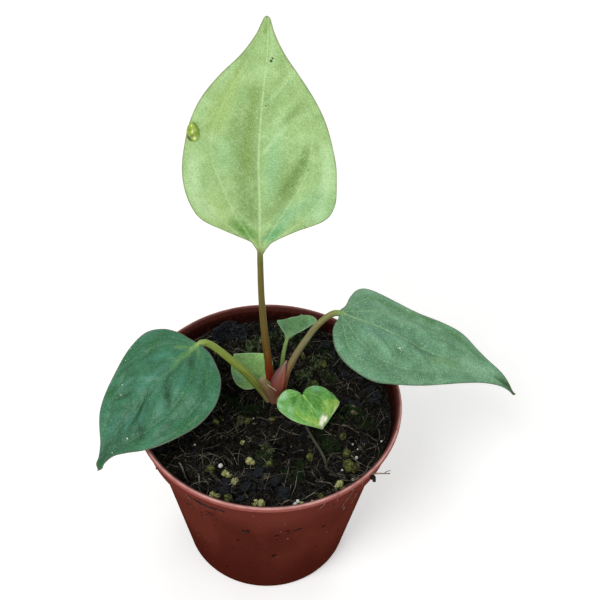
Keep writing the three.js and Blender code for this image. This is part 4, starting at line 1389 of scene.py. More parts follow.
blades = {
    "blade_back": {
        "base": (-4.4, 25, 159),
        "length": 98,
        "azimuth": (90, 90),
        "pitch": (75, 70),
        "roll": (0, 0),
        "cup": 8,
        "arch": 0,
        "sway": (0, -2),
        "ruffle": (0.5, 3),
        "bulge": 0.1,
        "grid": (190, 120),
        "left": [
            (-1.2, 0.5), (0, 0.9), (2, 1.5), (4, 2.8), (6, 4.6), (11, 14), (17, 24.2), (24, 28.9),
            (33, 31.4), (43, 31.5), (57, 28.8), (67, 24.5), (76, 17.5), (84, 9.2), (91, 4), (95.6, 2),
            (97.7, 1.1), (98.3, 0.2),
        ],
        "right": [
            (-1.2, 0.7), (0, 1.3), (2, 2.3), (4, 3.8), (6, 5.8), (11, 14.6), (17, 26.6), (24, 30.8),
            (33, 31.2), (43, 30.2), (57, 26), (67, 20.7), (76, 14.3), (84, 8.2), (91, 4), (95.6, 2),
            (97.7, 1.1), (98.3, 0.2),
        ],
        "midrib": [(-1, 0), (21.4, 0.3), (43.9, 1.0), (61.4, 0.3), (75.1, -0.5), (85, -1), (96, -0.6)],
        "ribWidth": (0.58, 0.2),
        "chief": [
            [
                (0, 0.6), (4.3, 2.1), (18.8, 10.5), (35.1, 17.3), (43, 19.9), (55, 19.5), (67, 15),
                (78, 8.6), (88, 3.4), (94, 0.6),
            ],
            [
                (0, -0.6), (4.3, -1.5), (19, -9.5), (30.9, -16.2), (41.7, -19.5), (53.3, -20.2),
                (63.6, -17.3), (76, -11), (87, -4.8), (94, -1.6),
            ],
            [(1, 1), (8, 7.4), (17, 16.5), (27, 24)], [(1, -1), (8, -8), (17, -18), (27, -25)],
        ],
        "chiefWidth": (0.42, 0.22),
        "laterals": (12, 20, 30, 40, 47.7, 58, 68.3, 77),
        "lateralWidth": 0.34,
        "groove": 0.2,
        "sideGroove": 0.1,
        "quilt": 0.2,
        "swells": [  # x, y, reach along, reach across, turn in degrees, height
            (33, -13, 12, 2.4, -28, -0.5), (44, -19.4, 12, 3, -5, 0.4), (45, 5.4, 10, 3, 0, -0.5),
            (62, 4.4, 8, 3, 0, -0.5), (12, 6.5, 6, 2.4, 45, -0.7), (12, -6.5, 6, 2.4, -45, -0.6),
            (62, -9, 6, 2, -45, 0.4), (58, -13, 6, 2, -45, -0.45), (48, -8, 8, 2.2, -38, 0.4),
            (36, 26, 12, 4, 0, 0.4), (38, -26, 12, 4, 0, 0.4),
        ],
        "ripple": 0.5,
        "slot": "blade_back",
    },
    "blade_left": {
        "base": (-30.5, 2.6, 126),
        "length": 68,
        "azimuth": (-138, -136),
        "pitch": (-6, -52),
        "roll": (0, 0),
        "cup": 6,
        "arch": 0.018,
        "sway": (0, 2.8),
        "ruffle": (0.5, 4),
        "bulge": 1.6,
        "grid": (150, 108),
        "left": [
            (-0.4, 1.2), (-0.6, 6.8), (0.5, 12), (4.4, 20.4), (12, 26.4), (21, 28.2), (30, 26.7),
            (40, 22.3), (48, 16.4), (54.5, 9.2), (59, 4.8), (64, 2.4), (66.4, 1.7), (68, 1), (68.7, 0.2),
        ],
        "right": [
            (-0.4, 1.2), (0.7, 6.4), (1.8, 12.5), (4.4, 20.4), (10, 25.2), (20, 23.8), (30, 21), (40, 17.6),
            (48, 13.2), (54.5, 8), (59, 4.8), (64, 2.4), (66.4, 1.7), (68, 1), (68.7, 0.2),
        ],
        "midrib": [(-1, 0), (9.5, 0.1), (19.6, 0.8), (29.8, 1.4), (40.1, 1.5), (54, 0.5), (66, -0.2)],
        "ribWidth": (0.8, 0.3),
        "chief": [
            [(0, 0.8), (4, 5), (10, 9.6), (19, 13.4), (29, 14.6), (39, 13), (48, 9), (56, 4.6), (63, 1)],
            [
                (0, -0.8), (3, -3.6), (9, -10.6), (17.8, -14.7), (28.3, -14.7), (38.7, -11.6),
                (47.6, -7.6), (56, -4), (63, -1.4),
            ],
            [(0.6, 1.4), (3, 8), (8, 15.6), (16, 21), (26, 22)],
            [(0.6, -1.4), (3.4, -8), (8, -16), (16, -20), (26, -19)],
        ],
        "chiefWidth": (0.5, 0.25),
        "laterals": (5, 11, 17, 23, 30, 37, 44, 51),
        "lateralWidth": 0.36,
        "groove": 0.45,
        "sideGroove": 0.12,
        "quilt": 0.35,
        "swells": [
            (37, 2, 9, 2.2, 18, -1.1), (43.6, 9.4, 4.4, 3.4, 40, -1.1), (25, 8.6, 6, 2.2, 58, -1.2),
            (7.5, 4.5, 5, 2, 50, -0.9), (31.1, 10.4, 6, 3.4, 30, 1), (17.6, 9.5, 6, 3.4, 42, 1),
            (33.9, -10.5, 6, 2, -14, 0.7), (35.4, -6, 6, 1.8, -26, -0.7), (39, -14, 4.4, 2.4, 0, -0.6),
            (30, -16, 5, 2.4, -16, 0.6), (30, 25, 11, 2.6, -12, 0.5), (35, 18.4, 9, 2.6, -10, -0.6),
            (11.6, -9.8, 8, 2.2, -38, 0.6), (17.2, -14.2, 9, 2, -12, -0.6),
        ],
        "ripple": 0.9,
        "slot": "blade_left",
    },
    "blade_right": {
        "base": (30.9, 18.1, 131),
        "length": 90.5,
        "azimuth": (-6, -14),
        "pitch": (-18, -30),
        "roll": (0, 12),
        "cup": 0,
        "arch": 0.012,
        "sway": (3, 0.4),
        "ruffle": (0.5, 4),
        "bulge": 1.6,
        "grid": (176, 104),
        "left": [
            (-0.3, 1.1), (2.2, 6), (4.4, 14), (8, 21.4), (14, 24.2), (26, 22.4), (38, 19.8), (50, 18.4),
            (60, 16.2), (68, 11), (75, 6.4), (83, 3.3), (88, 1.5), (90, 0.7), (91, 0.1),
        ],
        "right": [
            (-0.3, 1.1), (-1, 4.4), (-2.4, 11), (0.4, 19.6), (8, 25.4), (20, 27.8), (32, 24.6), (44, 20.2),
            (54, 15.8), (64, 11), (73, 6.6), (82, 3), (88, 1.5), (90, 0.7), (91, 0.1),
        ],
        "midrib": [
            (-1, 0), (12.5, 0.7), (22.3, 0), (34.5, -0.5), (45, -1.6), (57.6, -1.2), (70.2, -0.5),
            (80.8, 0.5), (89, 0.2),
        ],
        "ribWidth": (0.6, 0.22),
        "chief": [
            [
                (0, 0.6), (3.6, 2.9), (10.1, 6.2), (18.5, 10.3), (33.6, 13.2), (47.1, 11.8), (62.5, 6.3),
                (74, 2.6), (84, 0.8),
            ],
            [
                (0, -0.6), (3.6, -4.2), (9.4, -10.2), (17.7, -14.9), (29.4, -16.4), (44.6, -12.7),
                (58.9, -8.4), (74.6, -3.1), (84, -0.8),
            ],
            [(0.8, 1.2), (3.4, 5), (6.8, 10), (13.1, 18)], [(0.6, -1.2), (2.6, -8), (6, -16), (14, -22)],
        ],
        "chiefWidth": (0.4, 0.22),
        "laterals": (9, 16, 22.3, 31.1, 39, 43.8, 52, 60),
        "lateralWidth": 0.36,
        "groove": 0.35,
        "sideGroove": 0.14,
        "quilt": 0.25,
        "swells": [
            (27.4, 4, 8, 2, 8, -0.7), (38, -1.6, 8, 2.8, -20, -0.9), (46.4, -2.4, 4, 2, 0, -0.5),
            (30, 8.6, 12, 2.6, 0, 0.5), (22, -9.4, 9, 2.4, -28, 0.7), (30, -8, 7, 2.4, -20, -0.5),
            (30, -19, 12, 2.2, 0, -0.5), (55.6, -6, 8, 2.8, 14, 0.6), (56, 12, 8, 2.4, -20, -0.6),
            (24, 15, 16, 2.2, -6, -0.5),
        ],
        "ripple": 0.6,
        "slot": "blade_right",
    },
    "blade_small_left": {
        "base": (-3.1, 7.6, 96.5),
        "length": 19.6,
        "azimuth": (133, 133),
        "pitch": (10, 14),
        "roll": (-20, -20),
        "cup": 4,
        "arch": 0.012,
        "sway": (0, 0),
        "ruffle": (0.2, 3),
        "bulge": 1,
        "grid": (56, 52),
        "left": [(0, 0.9), (0.4, 4), (3, 7.6), (7, 8.8), (11.5, 7.8), (15.5, 5.2), (18, 2), (19.6, 0.2)],
        "right": [(0, 0.9), (0.6, 5), (3, 9.4), (7.4, 11.4), (11, 9.4), (14.5, 6), (17.4, 2.6), (19.6, 0.2)],
        "midrib": [(-0.5, 0), (6, 0.2), (13, 0.3), (19, 0)],
        "ribWidth": (0.45, 0.2),
        "chief": [
            [(0, 0.3), (3, 2.6), (7, 4.6), (12, 4.2), (17, 1.6)],
            [(0, -0.3), (3, -3), (7, -6), (12, -4.8), (17, -1.6)],
        ],
        "chiefWidth": (0.25, 0.18),
        "laterals": (3.5, 6.5, 10, 13.5),
        "lateralWidth": 0.2,
        "groove": 0.12,
        "sideGroove": 0.06,
        "quilt": 0.12,
        "swells": [(8, 4, 4, 2, 20, 0.5), (9, -5, 4, 2, -20, -0.4)],
        "ripple": 0.8,
        "slot": "blade_small",
    },
    "blade_small_back": {
        "base": (8.3, 25, 108),
        "length": 13.4,
        "azimuth": (59, 59),
        "pitch": (14, 22),
        "roll": (0, 0),
        "cup": 6,
        "arch": 0.02,
        "sway": (0, 0),
        "ruffle": (0.3, 3),
        "bulge": 1,
        "grid": (48, 46),
        "left": [
            (-0.4, 0.7), (1.4, 2.6), (3.4, 5.8), (5.9, 8.9), (8.3, 5.8), (10.4, 3.4), (12.2, 1.4),
            (13.6, 0.2),
        ],
        "right": [
            (-0.4, 0.7), (1.6, 1.6), (4, 2.8), (6.8, 4.8), (10.6, 7), (13.6, 8), (14.7, 6.4), (14.5, 3),
            (13.6, 0.2),
        ],
        "midrib": [(-0.5, 0), (5, 0.2), (9, 0.2), (13, 0)],
        "ribWidth": (0.4, 0.18),
        "chief": [
            [(0, 0.3), (3, 2.8), (6.5, 4.4), (10, 2.6), (12.4, 0.8)],
            [(0, -0.3), (4, -2), (8, -3.2), (12, -2)],
        ],
        "chiefWidth": (0.22, 0.15),
        "laterals": (2.5, 5, 7.5, 10),
        "lateralWidth": 0.18,
        "groove": 0.1,
        "sideGroove": 0.05,
        "quilt": 0.1,
        "swells": [(7, 3, 4, 2, 20, 0.4), (8, -3, 4, 2, -20, -0.3)],
        "ripple": 0.9,
        "slot": "blade_small",
    },
    "blade_front": {
        "base": (14.2, -3.4, 102),
        "length": 18.4,
        "notch": 1.1,  # how far the sinus is cut past the foot of the midrib
        "azimuth": (-58, -58),
        "pitch": (-14, -24),
        "roll": (0, 0),
        "cup": 5,
        "arch": 0.03,
        "sway": (0, 0),
        "ruffle": (0.3, 3),
        "bulge": 0.7,
        "grid": (60, 72),
        "left": [
            (-0.5, 2.5), (-1.1, 5.1), (-0.8, 8.2), (1, 10.8), (3.7, 12.5), (6.9, 14.3), (10, 15.2),
            (11.4, 14.2), (13.3, 11), (15.4, 7), (17.2, 3.4), (18.6, 0.2),
        ],
        "right": [
            (-2.1, 1.2), (-3.6, 2.9), (-4.4, 5.8), (-3.3, 9.2), (-0.8, 11.8), (1.9, 12.6), (4.8, 11.9),
            (8.4, 10.3), (12.1, 7.7), (15.2, 4.4), (17.5, 1.5), (18.6, 0.2),
        ],
        "midrib": [(-0.5, 0), (4, 0.5), (9, 1), (14, 0.8), (18, 0.2)],
        "ribWidth": (0.5, 0.2),
        "chief": [
            [(0, 0.4), (2.4, 3.4), (6, 6.6), (11, 7), (15.4, 3)],
            [(0, -0.4), (1.6, -4), (5, -7), (10, -6), (15, -2.4)],
            [(-0.2, 0.8), (-0.4, 4), (1.6, 8.4), (6, 11)], [(-0.4, -0.8), (-2, -4), (-1, -8.6), (4, -10.6)],
        ],
        "chiefWidth": (0.3, 0.18),
        "laterals": (3, 6, 9, 12),
        "lateralWidth": 0.24,
        "groove": 0.4,
        "sideGroove": 0.06,
        "quilt": 0.3,
        "swells": [
            (4, 5.4, 3, 2, 50, 0.8), (3.6, -5.6, 3.4, 2.2, -50, 0.9), (9.6, 5.4, 3, 2, 10, -0.6),
            (9, -4.6, 3, 1.8, 0, -0.7), (1, 9.4, 2.4, 2, 0, -0.6), (12.6, -2.6, 3, 1.6, 10, 0.5),
        ],
        "ripple": 1.4,
        "slot": "blade_front",
    },
}


def midribFrame(blade, x):  # point, left and up along the midrib, which runs on straight past its ends
    length = blade["length"]

    def heading(part):
        pitch = np.radians(blade["pitch"][0] + (blade["pitch"][1] - blade["pitch"][0]) * part)
        azimuth = np.radians(blade["azimuth"][0] + (blade["azimuth"][1] - blade["azimuth"][0]) * part)
        level = np.cos(pitch)
        return np.stack([level * np.cos(azimuth), level * np.sin(azimuth), np.sin(pitch)], -1)

    steps = np.linspace(0, 1, 481)
    walk = np.cumsum(heading((steps[1:] + steps[:-1]) / 2) * length / 480, axis=0)
    path = np.vstack([[0, 0, 0], walk]) + np.array(blade["base"])
    part = np.clip(x / length, 0, 1)
    ahead = heading(part)
    point = np.stack([np.interp(part, steps, path[:, k]) for k in range(3)], -1)
    point = point + ahead * (x - part * length)[:, None]
    level = unit(np.stack([-ahead[:, 1], ahead[:, 0], 0 * part], -1))
    roll = np.radians(blade["roll"][0] + (blade["roll"][1] - blade["roll"][0]) * part)[:, None]
    left = level * np.cos(roll) + np.cross(ahead, level) * np.sin(roll)
    return point, left, np.cross(ahead, left)


def bladeSpots(blade, x, y, u, v, side):  # points on the middle surface, and the direction out of it
    part = np.clip(x / blade["length"], 0, 1)
    swing, hook = blade["sway"]
    across = y + swing * np.sin(math.pi * part**4) + hook * part**3
    point, left, up = midribFrame(blade, x)
    out = np.where(across < 0, -1.0, 1.0)
    reach = np.abs(across)
    cup = math.radians(blade["cup"])
    arch = max(blade["arch"], 1e-6)
    lean = cup - arch * reach
    sideways = (math.sin(cup) - np.sin(lean)) / arch
    lift = (np.cos(lean) - math.cos(cup)) / arch
    height, waves = blade["ruffle"]
    ruffle = height * np.sin(2 * math.pi * waves * u + side) * v * v
    tilt = lean * between(0, 1.2, reach)  # the fold at the midrib is rounded
    normal = up * np.cos(tilt)[:, None] - left * (out * np.sin(tilt))[:, None]
    point = point + left * (out * sideways)[:, None] + up * lift[:, None] + normal * ruffle[:, None]
    return point, normal


def nearness(spots, lines):  # distance to the nearest line, plain and in parts of that line's half width
    plain = np.full(len(spots), 99.0)
    inWidths = np.full(len(spots), 99.0)
    for points, (first, last) in lines:
        line = smoothLine(points, np.linspace(0, 1, 8 * len(points)))
        widths = np.linspace(first, last, len(line))
        for a, b, width in zip(line, line[1:], widths):
            along = np.clip(((spots - a) @ (b - a)) / max(1e-9, (b - a) @ (b - a)), 0, 1)
            away = np.linalg.norm(spots - a - along[:, None] * (b - a), axis=1)
            plain = np.minimum(plain, away)
            inWidths = np.minimum(inWidths, away / width)
    return plain, inWidths


def lateralLines(blade):  # side veins from the midrib out to the vein that runs inside the margin
    lines = []
    rib = smoothLine(blade["midrib"], np.linspace(0, 1, 80))
    for edge in blade["chief"][:2]:
        vein = smoothLine(edge, np.linspace(0, 1, 80))
        for start in blade["laterals"]:
            root = np.array([start, np.interp(start, rib[:, 0], rib[:, 1])])
            reach = abs(np.interp(start + 0.12 * blade["length"], vein[:, 0], vein[:, 1]))
            end = start + 0.92 * reach
            tip = np.array([end, np.interp(end, vein[:, 0], vein[:, 1])])
            bend = root + (tip - root) * (0.5, 0.56)
            lines.append(([root, bend, tip], (blade["lateralWidth"], 0.6 * blade["lateralWidth"])))
    return lines


def bladeSurface(name, blade):
    rows, columns = blade["grid"]
    unpickAll()
    bpy.ops.mesh.primitive_grid_add(x_subdivisions=rows, y_subdivisions=columns, size=2)
    piece = startPiece(name)
    start = corners(piece)
    u = (start[:, 0] + 1) / 2
    v = np.abs(start[:, 1])
    side = np.where(start[:, 1] > 0, 1.0, -1.0)
    margin = np.where((side > 0)[:, None], smoothLine(blade["left"], u), smoothLine(blade["right"], u))
    middle = blade.get("notch", 0) * (1 - u) + u * blade["left"][-1][0]
    x = middle * (1 - v) + margin[:, 0] * v
    y = side * v * margin[:, 1]
    spots = np.stack([x, y], -1)

    ribGap, _ = nearness(spots, [(blade["midrib"], (1, 1))])
    rib = smoothLine(blade["midrib"], np.linspace(0, 1, 120))
    ribPart = y - np.interp(x, rib[:, 0], rib[:, 1])
    ribPart = ribPart / np.interp(x, (0, blade["length"]), blade["ribWidth"])
    chiefGap, chiefPart = nearness(spots, [(line, blade["chiefWidth"]) for line in blade["chief"]])
    sideGap, sidePart = nearness(spots, lateralLines(blade))
    outlines = [smoothLine(blade["left"], np.linspace(0, 1, 100))]
    outlines.append(smoothLine(blade["right"], np.linspace(0, 1, 100)) * (1, -1))
    edgeGap, _ = nearness(spots, [(line, (1, 1)) for line in outlines])
    veinGap = np.minimum(ribGap, chiefGap)

    point, normal = bladeSpots(blade, x, y, u, v, side)
    scale = min(1, blade["length"] / 60)
    pull = between(0, 3 * scale, edgeGap)
    groove = blade["groove"] * bell(veinGap, 1.0 * scale)
    groove = groove + blade["sideGroove"] * bell(sideGap, 0.9 * scale)
    panel = (1 - bell(veinGap, 3.0 * scale)) * (1 - bell(sideGap, 2.2 * scale))
    ripple = np.array([noise.fractal(Vector((a, b, 3)) * (0.1 / scale), 1, 2, 3) for a, b in spots])
    height = blade["quilt"] * panel - groove + blade["ripple"] * scale * ripple
    for sx, sy, reachAlong, reachAcross, turn, swell in blade["swells"]:
        c, s = math.cos(math.radians(turn)), math.sin(math.radians(turn))
        along, away = (x - sx) * c + (y - sy) * s, (y - sy) * c - (x - sx) * s
        height = height + swell * np.exp(-((along / reachAlong) ** 2) - (away / reachAcross) ** 2)
    near = np.exp(-(x * x + y * y) / 3.5**2)
    body = 0.28 + 0.22 * between(0, 1.5, edgeGap) + blade["bulge"] * near
    shape(piece, (point + normal * (height * pull + body / 2)[:, None]) * mm)

    note(piece, "flat", np.stack([x, y, 0 * x], -1))
    note(piece, "veins", np.stack([ribPart, chiefPart, sidePart], -1))
    note(piece, "gaps", np.stack([edgeGap, veinGap, np.minimum(veinGap, 1.3 * sideGap)], -1))
    ribDepth = (1.4 - 1.1 * u) * scale * bell(ribGap, 1.0 * scale) * between(-1, 6 * scale, x)
    ridge = 0.3 * scale * bell(chiefGap, 0.6)
    thick = (body + ribDepth + ridge) / 4
    group = piece.vertex_groups.new(name="thickness")
    for index, share in enumerate(np.clip(thick, 0, 1)):
        group.add([index], float(share), "REPLACE")
    shell = piece.modifiers.new("shell", "SOLIDIFY")
    shell.thickness = 4 * mm
    shell.offset = -1
    shell.vertex_group = "thickness"
    shell.material_offset = 1
    shell.material_offset_rim = 0
    piece.data.materials.append(None)
    piece.data.materials.append(None)
    applyModifiers(piece)
    return piece


# Patches and what lies over them: x, y, reach along, reach across, turn in degrees, tone, share.
# Dots: x, y, radius, colour.
# In each look, the panel colour is painted light on the raised panels between the veins, and the furrow
# colour is painted shade along the veins.
looks = {
    "blade_back": {
        "base": "#9abd77",
        "pale": "#b1d392",
        "deep": "#7fa25a",
        "furrowShade": ("#8aac62", 0.2),
        "panel": ("#9fc788", 0.3),
        "vein": "#c6e4ab",
        "sideVein": "#b6d99a",
        "edge": "#7f7560",
        "under": "#90b276",
        "speck": "#cdeab4",
        "grain": 2.3,
        "ribShare": (0.75, 0.5),
        "veinShare": (0.3, 0.16),
        "rough": 0.5,
        "tones": {
            "olive": "#76943c", "green": "#4c8a1a", "jade": "#4c9e66", "neck": "#6f7434",
            "stalk": "#98a658", "teal": "#7cc196", "dark": "#64863a", "pale": "#c4e6b0",
            "yellow": "#a9c466",
        },
        # The thin pale patches at (50, -5) and (70, -6), along the slanting side veins, are painted light,
        # and the dark patches at (33.5, -13) and (61, -12), in the valleys beside them, are painted shade.
        "patches": [
            (44, 6.2, 32, 8, 0, "dark", 0.6), (30, -8, 20, 8, -10, "dark", 0.45),
            (64, -4, 12, 5, -20, "dark", 0.3), (62, 17, 15, 6, -24, "yellow", 0.5),
            (20, 19, 13, 8, 30, "yellow", 0.4), (24, -24, 12, 8, -10, "teal", 0.35),
            (11, 6.2, 10, 3.4, 50, "green", 1.0), (9.5, -5.4, 9, 3, -50, "jade", 0.9),
            (19, -12, 11, 4.4, -42, "teal", 0.5), (40, -5, 20, 4.6, -6, "teal", 0.4),
            (43, 5.6, 11, 3.2, 0, "olive", 0.75), (55, 5, 10, 3, 0, "olive", 0.6),
            (66, 3.6, 9, 2.6, 0, "olive", 0.75), (22, 5, 14, 4, 18, "dark", 0.55),
            (33.5, -13, 16, 3.8, -27, "dark", 1.0), (43, -17.2, 8, 2, -12, "dark", 0.8),
            (61, -12, 8, 2.4, -42, "dark", 0.55), (64.5, -15.5, 4, 3, -30, "olive", 0.5),
            (77, -8, 7, 2.2, -40, "olive", 0.45), (50, -5, 11, 1.3, -38, "pale", 0.45),
            (70, -6, 9, 1.2, -40, "pale", 0.35), (44, 15, 10, 7, 0, "teal", 0.2),
            (75, 11, 8, 4, -24, "yellow", 0.4), (35, 27, 16, 3.8, 4, "pale", 0.65),
            (38, -27, 16, 3.8, -4, "pale", 0.65), (22, 22, 9, 4.4, 38, "pale", 0.55),
            (20, -24, 8, 4, -32, "pale", 0.4), (84, -3, 7, 2, 0, "pale", 0.3),
            (94, 0, 4, 1.9, 0, "olive", 0.75),
        ],
        "over": [
            (4, 0, 5, 2.6, 0, "stalk", 0.45), (-0.6, 0, 4, 3.4, 0, "neck", 0.9),
            (2.4, 2.2, 4.4, 0.9, 34, "neck", 0.55), (2.4, -2.8, 4.4, 0.9, -34, "neck", 0.5),
        ],
        "dots": [
            (82.6, -3.2, 0.55, "#39451f"), (81.6, -2.7, 0.6, "#2d381c"), (64, -1.3, 0.4, "#5b6e3c"),
            (64.4, -2.1, 0.3, "#5b6e3c"), (38.9, -19.2, 0.35, "#3f4c2a"),
        ],
    },
    "blade_left": {
        "base": "#37704e",
        "pale": "#448561",
        "deep": "#295d3a",
        "furrowShade": ("#2a5f3c", 0.25),
        "panel": ("#448364", 0.35),
        "vein": "#6c9f62",
        "sideVein": "#427858",
        "edge": "#665a52",
        "under": "#5a8460",
        "speck": "#6fa088",
        "ribShare": (0.3, -0.18),
        "veinShare": (0.12, 0.05),
        "rough": 0.36,
        "tones": {
            "deep": "#173f26", "green": "#2b6733", "blue": "#4a8c7a", "pale": "#659a86",
            "bright": "#86ae52",
        },
        # Deep patches in the sunken pockets by the veins are painted shade; the pale patches on the raised
        # panels and the blue haze are painted sheen.
        "patches": [
            (0.5, 0, 5.4, 2.2, 0, "bright", 0.95), (8, 0, 10, 2.6, 2, "bright", 0.36),
            (20, 0.8, 13, 2.4, 4, "pale", 0.3), (50, 4, 13, 10, 0, "deep", 0.5),
            (40, 24, 14, 5, -20, "deep", 0.3), (36, 6, 13, 1.6, 24, "deep", 0.4),
            (22, 6.4, 9, 1.5, 48, "deep", 0.35), (40, 7, 8, 2.6, 30, "blue", 0.4),
            (5.4, -4, 6, 1.2, -48, "bright", 0.4), (2.6, 3.4, 4, 1.1, 62, "bright", 0.35),
            (7.6, 4.4, 6, 2.2, 52, "deep", 0.8), (15, 2.8, 8, 1.4, 12, "deep", 0.5),
            (24.6, 8.6, 7, 1.9, 56, "deep", 0.85), (27.6, 12.6, 4, 1.6, 70, "deep", 0.5),
            (37, 2.8, 10, 1.9, 16, "deep", 0.9), (43.6, 9.6, 5, 3.4, 40, "deep", 0.85),
            (31, 10.6, 6, 3.2, 30, "pale", 0.55), (17.6, 9.6, 8, 3.4, 42, "blue", 0.5),
            (26, 3.4, 6, 2, 15, "pale", 0.4), (34, -10.6, 8, 1.8, -14, "pale", 0.5),
            (35.4, -6.2, 7, 1.6, -26, "deep", 0.65), (40, -14, 5, 2.2, 0, "green", 0.8),
            (39, -9, 5, 1.2, -20, "deep", 0.5), (36, -21, 8, 2, 8, "blue", 0.5),
            (29, -21, 8, 2.4, 10, "green", 0.7), (12, -15.5, 12, 3.2, 8, "green", 0.65),
            (28, -15.6, 6, 2.2, -8, "deep", 0.5), (15, -8, 9, 2.2, -32, "blue", 0.5),
            (27, -3.6, 12, 2.4, -8, "blue", 0.5), (30, 24, 15, 3.2, -14, "green", 0.8),
            (35, 18.4, 10, 2.2, -10, "deep", 0.45), (50, -3, 9, 3.2, 0, "blue", 0.4),
            (48, 12, 6, 3, -30, "green", 0.5), (62, 0, 9, 3.6, 0, "deep", 0.8),
            (8, 18, 7, 4, 65, "green", 0.5), (20, -3, 10, 2.4, -6, "pale", 0.3),
            (44, 2, 6, 2, 10, "blue", 0.5), (22, 16, 9, 3, 40, "green", 0.45),
            (14, 20, 7, 3, 50, "deep", 0.35),
        ],
        "over": [(66.5, 0, 4, 2.6, 0, "green", 0.7)],
        "dots": [
            (20.6, -22.9, 0.32, "#e6efe6"), (34.4, -11.6, 0.36, "#e6efe6"), (18.7, 4.7, 0.25, "#bdd6c4"),
            (49.2, 6.5, 0.36, "#eef5ee"), (58.1, 3.5, 0.3, "#dfe9df"), (37.9, -8.9, 0.4, "#8fae5c"),
            (40, -9.6, 0.3, "#8fae5c"), (36.8, -17.6, 0.4, "#8fae5c"), (48.3, -5.5, 0.35, "#86a85c"),
            (31, 4, 0.2, "#cfe0d0"), (26, -20, 0.2, "#cfe0d0"),
        ],
    },
    "blade_right": {
        "base": "#63956f",
        "pale": "#7db18a",
        "deep": "#4d8059",
        "furrowShade": ("#4a7651", 0.3),
        "panel": ("#74a885", 0.4),
        "vein": "#9cc78e",
        "sideVein": "#6c9a74",
        "edge": "#5a5046",
        "under": "#74967a",
        "speck": "#b6d8b4",
        "ribShare": (0.52, 0.12),
        "veinShare": (0.28, 0.08),
        "rough": 0.42,
        "tones": {
            "deep": "#3a6846", "green": "#447a38", "blue": "#548878", "pale": "#90c09a",
            "bright": "#a9c977", "yellow": "#7ba052", "tip": "#33592a",
        },
        # The deep patches in the valleys along the midrib are painted shade, and the pale patches at (30,
        # 8.8) and (20, -9.4), on raised swells, are painted light.
        "patches": [
            (0.5, 0, 5, 1.8, 0, "bright", 0.85), (6, 0.2, 7, 1, 0, "bright", 0.3),
            (17, -3.6, 9, 3.4, -10, "blue", 0.6), (27.4, 4, 9, 2.2, 8, "deep", 0.65),
            (37.6, -1.6, 9, 2.8, -20, "deep", 0.8), (46, -3, 5, 2.2, 0, "deep", 0.5),
            (20, -9.4, 11, 2.2, -30, "pale", 0.4), (30, -8.6, 8, 2, -20, "deep", 0.45),
            (15, -12.6, 8, 1.6, -38, "deep", 0.35), (30, 8.8, 14, 2.4, 0, "pale", 0.4),
            (24, 17, 20, 2.6, -6, "green", 0.7), (42, 17, 10, 2.6, -6, "green", 0.85),
            (56, 13, 10, 2.2, -20, "green", 0.8), (66, 8, 8, 1.8, -30, "green", 0.65),
            (52, 6, 10, 2.2, -8, "deep", 0.45), (52, -5, 12, 3.6, 12, "yellow", 0.35),
            (64, -3.4, 10, 3, 10, "yellow", 0.3), (34, -19.6, 14, 2.6, -4, "pale", 0.5),
            (18, -22, 9, 3, 10, "pale", 0.3), (4, -12, 4, 7, 0, "green", 0.4),
            (2, 9, 3, 6, 0, "pale", 0.35), (74, 1, 8, 2.6, 0, "pale", 0.4),
            (68, -1, 13, 6, 0, "pale", 0.75), (24, -20, 22, 6, 4, "deep", 0.55),
            (4, -4, 9, 14, 0, "deep", 0.5), (10, 12, 12, 5, 0, "deep", 0.3),
            (30, 0, 20, 8, -4, "blue", 0.25), (44, -15, 12, 3, 14, "deep", 0.3),
        ],
        "over": [
            (83, 0.6, 8, 1.6, 2, "tip", 0.6), (86, 0, 6, 3, 0, "tip", 0.8), (90, 0, 3, 2.6, 0, "tip", 0.9),
        ],
        "dots": [
            (32.0, 18.2, 0.7, "#8fc07a"), (22.9, 0.1, 0.5, "#a8cc9a"), (9.7, -11.2, 0.4, "#b9d6ac"),
            (29.8, -7.0, 0.5, "#c9e0c6"), (31.0, -6.2, 0.35, "#c9e0c6"), (30.6, -7.6, 0.25, "#c9e0c6"),
            (16.9, -15.0, 0.4, "#a8cc9a"), (46.7, -1.9, 0.4, "#a8cc9a"), (11.5, 12.7, 0.35, "#c4d8c6"),
            (36, -3, 0.25, "#c4d8c6"), (54, 8, 0.25, "#3c5a34"),
        ],
    },
    "blade_small_left": {
        "base": "#80b459",
        "pale": "#96c472",
        "deep": "#5e8c42",
        "furrowShade": ("#628f48", 0.2),
        "panel": ("#84b068", 0.4),
        "vein": "#9cc47e",
        "sideVein": "#84b068",
        "edge": "#a9c79a",
        "under": "#6d9460",
        "speck": "#b4d49c",
        "ribShare": (0.4, 0.2),
        "veinShare": (0.2, 0.1),
        "rough": 0.42,
        "tones": {"blue": "#7fb294", "dark": "#4e7838"},
        "patches": [
            (10, 6, 6, 3, 0, "blue", 0.6), (5, -6, 5, 3, 0, "dark", 0.5), (2, 0, 4, 4, 0, "dark", 0.5),
            (13, -5, 4, 2, -30, "dark", 0.4),
        ],
        "dots": [
            (7, -10.2, 0.3, "#22331c"), (9.4, -9.6, 0.25, "#22331c"), (4.6, -9.6, 0.25, "#2a3a20"),
            (12, -7.4, 0.25, "#22331c"), (14.6, -5.2, 0.3, "#22331c"),
        ],
    },
    "blade_small_back": {
        "base": "#5e9158",
        "pale": "#78a86c",
        "deep": "#446e46",
        "furrowShade": ("#487248", 0.2),
        "panel": ("#649668", 0.4),
        "vein": "#7fab76",
        "sideVein": "#6c9a66",
        "edge": "#8eae88",
        "under": "#648a60",
        "speck": "#8cb088",
        "ribShare": (0.3, 0.15),
        "veinShare": (0.15, 0.1),
        "rough": 0.45,
        "tones": {"pale": "#83ac6e", "dark": "#3f6a46"},
        "patches": [
